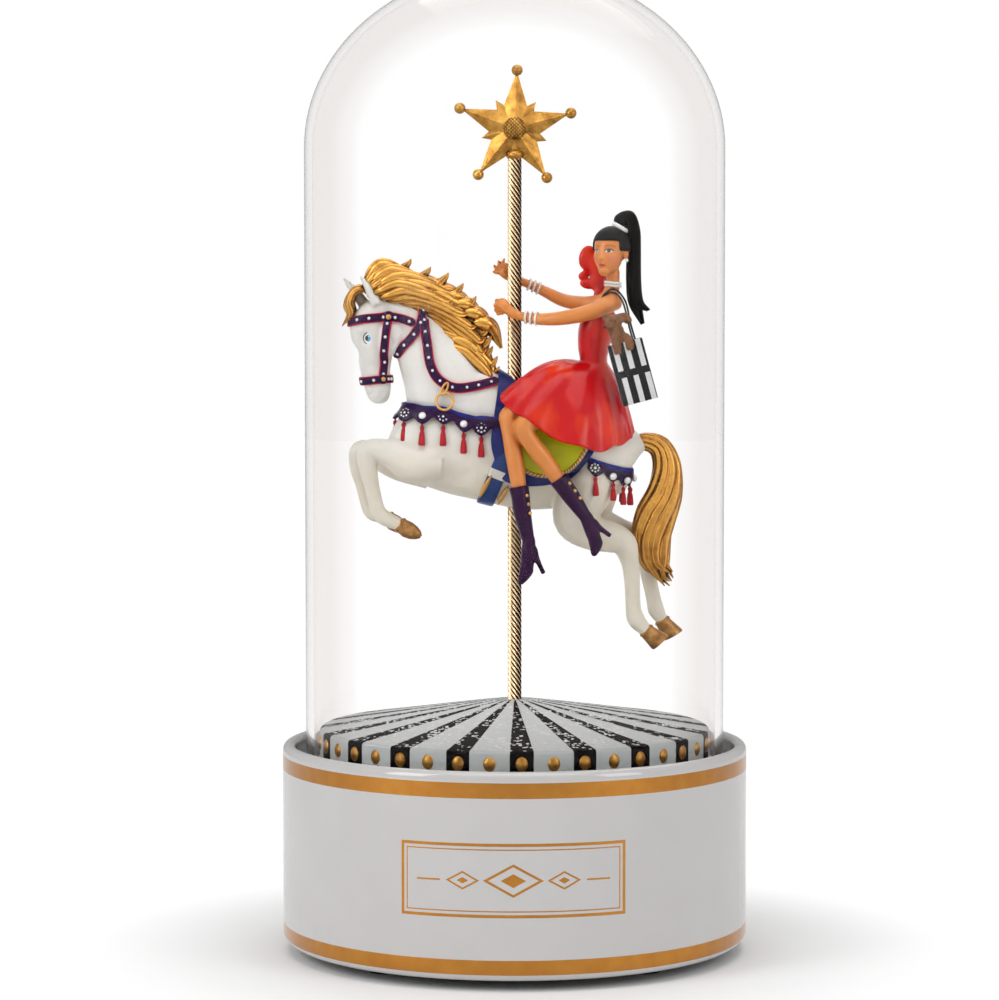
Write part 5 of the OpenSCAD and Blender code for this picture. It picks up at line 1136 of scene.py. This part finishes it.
for line in (
        [[-1.0, -3.8, 40.2, 1.3], [-2.6, -3.2, 41.4, 1.6], [-3.6, -2.2, 41.8, 1.4], [-3.6, -0.9, 41.6, 0.8]],
        [[-3.4, -3, 42.8, 0.55], [-4.6, -1.8, 43, 0.55], [-4.3, -0.4, 42.7, 0.5], [-3.2, 0.5, 42.4, 0.4]],
        [[-3.7, -3, 41.7, 0.55], [-5, -1.8, 41.8, 0.55], [-4.6, -0.3, 41.6, 0.5], [-3.4, 0.7, 41.4, 0.4]],
        [[-3.4, -3, 40.6, 0.55], [-4.8, -1.8, 40.6, 0.55], [-4.5, -0.4, 40.5, 0.5], [-3.3, 0.5, 40.5, 0.4]],
        [[-2.9, -2.9, 39.8, 0.5], [-4.2, -1.9, 39.6, 0.5], [-4, -0.6, 39.6, 0.45], [-3.1, 0.3, 39.7, 0.35]],
        [[-1.4, -4.1, 41, 0.6], [-2.4, -3.6, 42.8, 0.55], [-3.6, -2.6, 43.4, 0.4]],
        [[0.2, 3.9, 48.6, 1.1], [-1.6, 3.2, 49.4, 1.35], [-3.0, 2.7, 50.2, 1.2], [-3.8, 2.4, 50.6, 0.7]],
        [[-2.2, 2.6, 51, 0.5], [-3.0, 2.2, 52.6, 0.45], [-2.6, 1.9, 53.9, 0.32]],
        [[-2.8, 2.6, 51, 0.5], [-4.0, 2.1, 52.3, 0.45], [-4.1, 1.7, 53.4, 0.32]],
        [[-3.2, 2.6, 50.6, 0.5], [-4.8, 2.1, 51.4, 0.45], [-5.4, 1.8, 52.3, 0.32]],
        [[-3.2, 2.6, 50, 0.5], [-5, 2.2, 50.2, 0.45], [-5.6, 2, 50.6, 0.32]],
        [[-1.2, 2.6, 50.2, 0.5], [-1.9, 1.9, 51.9, 0.42], [-2, 1.4, 52.6, 0.3]]):
    limb(bm, line, 12, 5)
bm = melted(bm, 0.27, 3)
press(bm, (19.8, -6, 33.5), 3, (0, -0.4, 0))
body = bpy.data.meshes.new("body")
bm.to_mesh(body)
bm.free()

bm = bmesh.new()
for half, shift in (((4.35, 5.0, 4.6), (0, 0.5, 1.5)), ((3.6, 3.7, 4.9), (0, -1.1, -0.9)),
                    ((2.6, 2.6, 2.6), (0, -1.7, -3.2)), ((1.5, 1.5, 1.3), (0, -3.0, -5.0)),
                    ((0.8, 0.5, 0.36), (0, -4.35, -3.42)), ((0.7, 0.5, 0.34), (0, -4.3, -3.92)),
                    ((0.62, 0.62, 0.5), (0, -4.75, -1.85)), ((0.5, 0.5, 0.42), (0.55, -4.35, -1.95)),
                    ((0.5, 0.5, 0.42), (-0.55, -4.35, -1.95)), ((0.42, 0.6, 1.4), (0, -4.15, -0.7)),
                    ((0.55, 1.0, 1.35), (4.15, 0.6, -0.5)), ((0.55, 1.0, 1.35), (-4.15, 0.6, -0.5)),
                    ((1.9, 2.0, 2.4), (0, 0.6, -4.2))):
    bmesh.ops.create_uvsphere(bm, u_segments=32, v_segments=20, radius=1,
                              matrix=look @ Matrix.Translation(Vector(shift) / 1000)
                              @ Matrix.Diagonal([h / 1000 for h in half] + [1]))
bm = melted(bm, 0.17, 4)
for side in (-1, 1):
    for spot, radius, move in (((1.85 * side, -4.3, 0.1), 1.35, (0, 0.42, 0)),
                               ((1.82 * side, -3.9, 0), 0.8, (0, -0.22, 0)),
                               ((2.6 * side, -3.4, -1.6), 1.8, (0.12 * side, -0.22, 0)),
                               ((4.6 * side, 0.4, -0.4), 0.7, (-0.35 * side, 0, 0))):
        place = (look @ (Vector(spot) / 1000)) * 1000 - Vector((0, 0, floor_of_horse))
        press(bm, place, radius, look.to_3x3() @ Vector(move))
bm.from_mesh(body)
bmesh.ops.recalc_face_normals(bm, faces=bm.faces)
finished("rider", bm, "carousel", skin, ["rider_body"], 60)

# ---- Dress: modelled with the rider, a fitted bodice, a full skirt in deep folds and a fluted
# ruffle at the far shoulder, in a glossy red enamel shaded with orange.
satin = Surface("red_gloss", specular_ior_level=0.1, coat_weight=0.35, coat_roughness=0.05)
tone = satin.grain(0.007, 2, 0.5, (1, 1, 0.45))
# Darker red in the folds, from the ambient-occlusion mask: painted shade.
red_with_fold_shade = satin.mix(satin.shade_in_hollows(0.004).soft(0.35, 0.95), (0.26, 0.0, 0.002), (0.60, 0.0, 0.003))
satin.set(base_color=satin.mix(tone.soft(0.48, 0.70), red_with_fold_shade, (0.74, 0.03, 0.001)),
          roughness=0.22 + 0.1 * tone)
satin.bump(satin.grain(0.0022, 2), 0.00012)
bm = bmesh.new()
limb(bm, [[20, -2, 24, 4.6, 4.1], [20.3, -2, 27.5, 4.1, 3.5], [20.3, -2, 31, 4.7, 4.0],
          [20.9, -2, 35, 5.4, 4.5], [21.8, -1.9, 38.4, 5.8, 4.2], [22.6, -1.7, 40.8, 5.5, 3.5]], 24, 6,
     (0.3, 1, 0))
limb(bm, [[20.6, 1.6, 38, 0.5, 1.2], [22.6, 2.6, 42.6, 0.6, 1.3], [24.6, 2.8, 44.8, 0.5, 1]], 12, 5)
for spot, half, lean in (((18.9, 4.6, 54.0), (2.3, 1.0, 3.3), 12), ((20.9, 4.2, 51.8), (2.0, 1.1, 3.6), -14),
                         ((17.9, 4.9, 49.4), (1.5, 0.9, 1.2), -30), ((19.0, 4.7, 47.2), (2.2, 0.9, 1.3), 10),
                         ((21.8, 4.2, 47.6), (2.4, 1.1, 3.2), -20), ((22.4, 3.6, 44.6), (2.0, 1.0, 1.8), 0)):
    bmesh.ops.create_uvsphere(bm, u_segments=24, v_segments=14, radius=1,
                              matrix=Matrix.Translation(at(spot)) @ Matrix.Rotation(radians(lean), 4, "Y")
                              @ Matrix.Diagonal([h / 1000 for h in half] + [1]))
waist_x, waist_y, waist_z = 20.3, -2, 27.4
hem = curve([[-2.8, -9.4, 19.0], [-3.7, -11.6, 17.7], [-0.4, -15.6, 15.2], [5.6, -18.0, 11.4],
             [13.4, -18.0, 7.0], [21.5, -16.0, 5.2], [26.6, -12.2, 6.2], [30.3, -7, 8.0], [30.2, -1, 9.0],
             [28.6, 4.8, 10.0], [22, 7.0, 13], [14, 5.6, 17.4], [7, 2.4, 19.8], [1, -4, 20.6],
             [-2.8, -9.4, 19.0]], 12)
columns, rows = len(hem) - 1, 18
sheet = bmesh.new()
bmesh.ops.create_grid(sheet, x_segments=columns, y_segments=rows, size=0.5)
for v in sheet.verts:
    i, t = round((v.co.x + 0.5) * columns), v.co.y + 0.5
    end = Vector(hem[i % columns])
    out = Vector((end.x - waist_x, end.y - waist_y, 0)).normalized()
    waist = Vector((waist_x + 3.3 * out.x, waist_y + 3.7 * out.y, waist_z))
    spot = waist.lerp(end, t)
    lean = max(0.0, -out.x)
    spot += (Vector((0, 0, 1)) * (2.9 * lean + 0.4) + out * 1.3) * 4 * t * (1 - t) * (1 - 0.3 * t)
    wave = sin(2 * pi * 11 * i / columns + 1.6 * sin(4 * pi * i / columns)) * (0.2 + 0.8 * t) * t
    normal = Vector((out.x * 0.6, out.y, 0.75)).normalized()
    v.co = at(spot + normal * wave * 0.85)
bmesh.ops.remove_doubles(sheet, verts=sheet.verts, dist=1e-5)
bmesh.ops.recalc_face_normals(sheet, faces=sheet.faces)
bmesh.ops.solidify(sheet, geom=sheet.faces, thickness=0.0011)
mesh = bpy.data.meshes.new("skirt")
sheet.to_mesh(mesh)
sheet.free()
bm.from_mesh(mesh)
bm = melted(bm, 0.27, 2)
finished("red_dress", bm, "carousel", satin, ["dress"], 60)

# ---- Hair: a modelled cap with a straight fringe, drawn up into a long ponytail with a white tie
# and forked ends, in gloss black.
black = Surface("gloss_black", base_color=(0.004, 0.003, 0.0025), specular_ior_level=0.08)
combed = (black.attribute("around").maths("ARCCOSINE") * 11).maths("SINE") * 0.5 + 0.5
black.set(roughness=0.3 + 0.15 * black.grain(0.0008, 3))
black.bump(combed + 0.5 * black.grain(0.0007, 3, 0.6, (1, 1, 0.25)), 0.00012)
bm = bmesh.new()
bmesh.ops.create_uvsphere(bm, u_segments=96, v_segments=64, radius=1,
                          matrix=Matrix.Diagonal((4.85, 5.5, 5.15, 1)))
for v in bm.verts:
    side, ahead, high = abs(v.co.x), -v.co.y, v.co.z
    under_fringe = ahead > 1.0 + 1.3 * max(0, side - 2.8) and high < 1.25
    if under_fringe or (ahead > -1.8 and high < -1.6) or high < -2.9:
        v.co *= 0.72
    v.co = look @ ((v.co + Vector((0, 0.5, 1.6))) / 1000)
bm = melted(bm, 0.2, 4)
spine = [[26.9, -1.4, 61.0], [27.3, -1.2, 63.6], [29.0, -1.0, 64.2], [30.3, -1.0, 61], [30.6, -1.0, 55.5],
         [30.6, -1.2, 48], [31.2, -1.4, 42.5], [33.2, -1.8, 38]]
bunch(bm, spine, [0.9, 1.7, 2.0, 1.9, 1.8, 1.9, 1.9, 0.8], 13, 0.12,
      lambda k, half: (half * 0.62, half * 0.9 * 0.62), lambda half: 0.45 + 0.2 * half,
      lambda k: (1.1, 2.4) if cos(2 * pi * k / 13) < 0 else (-0.2, -1.0), 6)
finished("black_hair", bm, "carousel", black, ["hair"], 60)
bm = bmesh.new()
tie_way = (0.5, 0, 0.86)
tie = (Matrix.Translation(at((27.1, -1.4, 61.7)))
       @ Vector(tie_way).to_track_quat("Z", "Y").to_matrix().to_4x4())
tie_ring = [tie @ Vector((0.0020 * cos(a), 0.0020 * sin(a), 0)) for a in [2 * pi * k / 32 for k in range(34)]]
tube(bm, frames([[*p, 0.55, 0.38] for p in tie_ring], tie_way), 12)
white_band = Surface("tie_white", base_color=(0.84, 0.83, 0.81), coat_weight=0.2)
white_band.set(roughness=0.35 + 0.1 * white_band.grain(0.0005)).bump(white_band.grain(0.0004, 2), 0.00006)
finished("hair_tie", bm, "carousel", white_band, [], 60)

# ---- Boots: modelled on the calves, with a turned cuff, a pointed toe and a high heel, in dark
# purple enamel, with three gold buttons up the side of each.
plum = Surface("boot_enamel", specular_ior_level=0.12, coat_weight=0.1, coat_roughness=0.15)
plum.set(base_color=plum.mix(plum.grain(0.003, 3), (0.018, 0.001, 0.022), (0.04, 0.004, 0.048)),
         roughness=0.28)
plum.bump(plum.grain(0.0012, 2), 0.00006)
bm, buttons = bmesh.new(), bmesh.new()
for top, shin, ankle, ball, toe, heel in (
        ((1.0, -14.2, -3.9), (2.0, -14.2, -11), (3.6, -14.2, -18.4),
         (3.0, -14.6, -25.4), (1.6, -15, -28.4), (7.4, -13.6, -26.4)),
        ((11.0, -14.9, -1.9), (14.6, -14.7, -7), (18.4, -14.4, -12.4),
         (20.6, -14.8, -18.4), (20.2, -15.2, -21.2), (24.4, -13.8, -16.8))):
    top, shin, ankle, ball, toe, heel = (Vector(p) for p in (top, shin, ankle, ball, toe, heel))
    down = (ankle - top).normalized()
    limb(bm, [[*(top + down * 0.2), 2.0], [*(top + down * 0.3), 2.55], [*(top + down * 1.0), 2.5],
              [*(top + down * 3), 2.4], [*shin, 2.25], [*ankle, 1.55]], 20, 5)
    limb(bm, [[*(ankle - down * 1.5), 1.5], [*ankle, 1.75], [*((ankle + ball) / 2), 1.75, 2.1],
              [*ball, 1.65, 1.9], [*toe, 0.9, 0.9], [*(toe + (toe - ball) * 0.25), 0.3, 0.3]], 18, 5)
    limb(bm, [[*(ankle + down * 0.8), 1.4], [*ankle.lerp(heel, 0.3), 1.3], [*ankle.lerp(heel, 0.5), 0.85],
              [*ankle.lerp(heel, 0.8), 0.62], [*heel, 0.62]], 14, 5)
    way = (Vector((-down.z, 0, down.x)) * 0.72 + Vector((0, -0.7, 0))).normalized()
    for k in range(3):
        spot = top + down * (2.8 + 2.3 * k)
        bead(buttons, at(spot + way * 2.35), 0.5, way, 0.7, (12, 7))
bm = melted(bm, 0.26, 3)
finished("button_boots", bm, "carousel", plum, ["boots"], 60)
finished("boot_buttons", buttons, "carousel", ring_gold, [], 60)


# ---- Jewellery: strings of tiny pearls, two round the neck, three round each wrist, and an ear drop
# on each side.
def string(bm, centre, axis, radius, count, size):
    """A ring of pearls round a limb."""
    lay = Vector(axis).to_track_quat("Z", "Y")
    for k in range(count):
        a = 2 * pi * k / count
        bead(bm, at(centre) + lay @ Vector((radius * cos(a) / 1000, radius * sin(a) / 1000, 0)), size,
             None, 1.0, (8, 6))


for k in range(2):
    string(pearls, (25.2, -1.8, 46.8 + 0.75 * k), (0.1, 0, 1), 2.0 - 0.04 * k, 26, 0.36)
for k in range(3):
    string(pearls, (3.0 + 1.3 * k, -4.85 - 0.35 * k, 38.7 - 0.14 * k), (1, -0.28, -0.1),
           1.42 + 0.06 * k, 20, 0.34)
    string(pearls, (3.8 + 1.2 * k, 4.1 + 0.12 * k, 47.1 - 0.45 * k), (1, 0.1, -0.38), 1.38 + 0.05 * k, 20,
           0.32)
for side in (-1, 1):
    bead(pearls, look @ (Vector((4.5 * side, 0.5, -2.1)) / 1000), 0.5)
finished("pearls", pearls, "carousel", pearl, ["jewellery"], 60)

# ---- Bag and strap: an open card carrier modelled in resin, striped in black and white round a
# plain black band, on a double cord over the near shoulder.
bag_frame = Matrix.Translation(at((29.9, -12.4, 24.9))) @ Matrix.Rotation(radians(-15), 4, "Y")
striped = Surface("bag_stripes", specular_ior_level=0.3, coat_weight=0.06)
across, deep, high = striped.inside(bag_frame)
paper_tone = striped.mix(striped.grain(0.002, 3), (0.66, 0.66, 0.66), (0.80, 0.80, 0.80))
upper = ((across + 4.55) / 3.03).maths("FRACT").band(0.36, 0.80) * (high > 0.9)
lower = ((across + 4.2) / 3.03).maths("FRACT").band(0.36, 0.80) * (high < -0.9)
white_stripe = ((upper + lower) * (deep.maths("ABSOLUTE") > 1.7)).maths("MINIMUM", 1)
side_wall = across.maths("ABSOLUTE") > 4.5
inner = (deep.maths("ABSOLUTE") < 1.5) * (across.maths("ABSOLUTE") < 4.3)
ink = striped.mix(white_stripe, (0.003, 0.003, 0.0035), paper_tone)
ink = striped.mix(side_wall, ink, (0.30, 0.30, 0.31))
ink = striped.mix(inner, ink, (0.02, 0.02, 0.02))
striped.set(base_color=ink, roughness=0.3 + 0.1 * striped.grain(0.001))
striped.bump(striped.grain(0.0012, 2) + 0.5 * white_stripe, 0.00005)
bag_w, bag_deep, bag_h = 0.0091, 0.0038, 0.0158
bm = bmesh.new()
bmesh.ops.create_cube(bm, size=1, matrix=Matrix.Diagonal((bag_w, bag_deep, bag_h, 1)))
mouth = max(bm.faces, key=lambda f: f.calc_center_median().z)
bmesh.ops.inset_region(bm, faces=[mouth], thickness=0.0004)
sunk = bmesh.ops.extrude_face_region(bm, geom=[mouth])["geom"]
bmesh.ops.delete(bm, geom=[mouth], context="FACES_ONLY")
bmesh.ops.translate(bm, vec=(0, 0, -0.0145), verts=[v for v in sunk if isinstance(v, bmesh.types.BMVert)])
outer = [e for e in bm.edges if max(abs(v.co.x) for v in e.verts) > 0.0045]
bmesh.ops.bevel(bm, geom=outer, offset=0.00022, affect="EDGES", segments=3, profile=0.5, material=-1)
bmesh.ops.subdivide_edges(bm, edges=[e for e in bm.edges if e.calc_length() > 0.003], cuts=5,
                          use_grid_fill=True)
for v in bm.verts:
    v.co.y *= 1 + 0.10 * cos(v.co.x * 500) * (0.5 + v.co.z / bag_h)
bmesh.ops.transform(bm, matrix=bag_frame, verts=bm.verts)
bmesh.ops.recalc_face_normals(bm, faces=bm.faces)
finished("striped_bag", bm, "carousel", striped, ["bag"], 30)
cord_black = Surface("strap_black", base_color=(0.006, 0.004, 0.004), specular_ior_level=0.3)
cord_black.set(roughness=0.35 + 0.15 * cord_black.grain(0.0006)).bump(cord_black.grain(0.0005, 2), 0.00005)
bm = bmesh.new()
for line in ([[24.2, -4.4, 45.2], [26.2, -7.2, 44.6], [27.8, -8.9, 42], [29.2, -11.4, 36],
              [30.4, -14.5, 31.6]],
             [[24.6, -3.4, 45.9], [26.2, -4.4, 45.6], [28.4, -6, 42.6], [29.6, -8.4, 37],
              [31.2, -10.6, 31.4]],
             [[24.2, -4.4, 45.2], [22.4, -5.2, 43.8], [21.6, -5.8, 41.6], [21.9, -6.4, 39]],
             [[24.6, -3.4, 45.9], [22.8, -4.2, 44.4], [22.0, -5.0, 42.4], [21.9, -5.8, 40]]):
    limb(bm, [[*p, 0.26] for p in line], 10, 8)
finished("bag_cords", bm, "carousel", cord_black, ["bag_strap"], 60)

# ---- Toy dog: sits in the bag with its paws over the edge, modelled with tufted fur, painted brown.
fur = Surface("dog_fur")
tuft = fur.grain(0.0011, 5, 0.7)
fur.set(base_color=fur.ramp(tuft, (0.3, (0.06, 0.018, 0.005)), (0.5, (0.20, 0.07, 0.018)),
                            (0.72, (0.38, 0.16, 0.05))), roughness=0.55)
fur.bump(tuft, 0.0004)
bm = bmesh.new()
limb(bm, [[27.2, -12.4, 27, 1.7], [26.8, -12.4, 31, 1.9], [26.2, -12.4, 34, 2.0], [25.6, -12.5, 36, 1.9]], 18)
limb(bm, [[26.2, -12.4, 36.0, 0.6], [25.6, -12.5, 37.4, 2.2], [25.3, -12.7, 39.4, 1.5]], 18)
limb(bm, [[25.2, -13.2, 37.2, 1.5], [23.8, -14, 36.4, 1.15], [23.3, -14.2, 36.1, 0.6]], 14)
for line in ([[26.6, -12, 39, 0.9], [28.2, -12, 38.6, 1.2], [28.9, -12, 37.4, 0.9]],
             [[24.4, -12, 39, 0.8], [23.4, -11.8, 38.6, 1.0], [23.0, -11.6, 37.6, 0.7]],
             [[25.8, -13.4, 34, 1.2], [25.6, -14.6, 32.4, 1.1], [26.0, -14.9, 30.4, 1.0],
              [26.1, -14.9, 29.4, 0.9]],
             [[27.6, -13, 34, 1.2], [28.8, -14.3, 33, 1.1], [29.2, -14.9, 31.4, 1.0],
              [29.4, -14.9, 30.6, 0.8]]):
    limb(bm, line, 12)
bm = melted(bm, 0.26, 2)
for v in bm.verts:
    v.co += v.normal * 0.0002 * noise.noise(v.co * 1300)
finished("toy_dog", bm, "carousel", fur, ["dog"], 60)
bm = bmesh.new()
for spot, r in (((22.75, -14.5, 36.2), 0.42), ((24.3, -14.4, 37.9), 0.26), ((25.5, -14.6, 37.9), 0.26)):
    bead(bm, at(spot), r)
finished("dog_nose_and_eyes", bm, "carousel", cord_black, [], 60)

# ---- Floor: a pale sheet that takes the drum's shadow and fades into the white round it.
paper = Surface("paper", roughness=0.7, specular_ior_level=0.2, emission_strength=1.0)
x, y = paper.axis("X"), paper.axis("Y")
away = (x * x + y * y).maths("SQRT").soft(0.066, 0.125)
camera_ray, glass_ray, bounces = (paper.node("LightPath", out=ray)
                                  for ray in ("Is Camera Ray", "Is Transmission Ray", "Diffuse Depth"))
fade = away * camera_ray.maths("MAXIMUM", glass_ray) * (bounces < 0.5)
paper.set(base_color=paper.mix(fade, (0.93, 0.93, 0.93), (0, 0, 0)),
          emission_color=paper.mix(fade, (0, 0, 0), (1, 1, 1)))
flat_sheet("floor", paper.material, Matrix.Identity(4), 3)
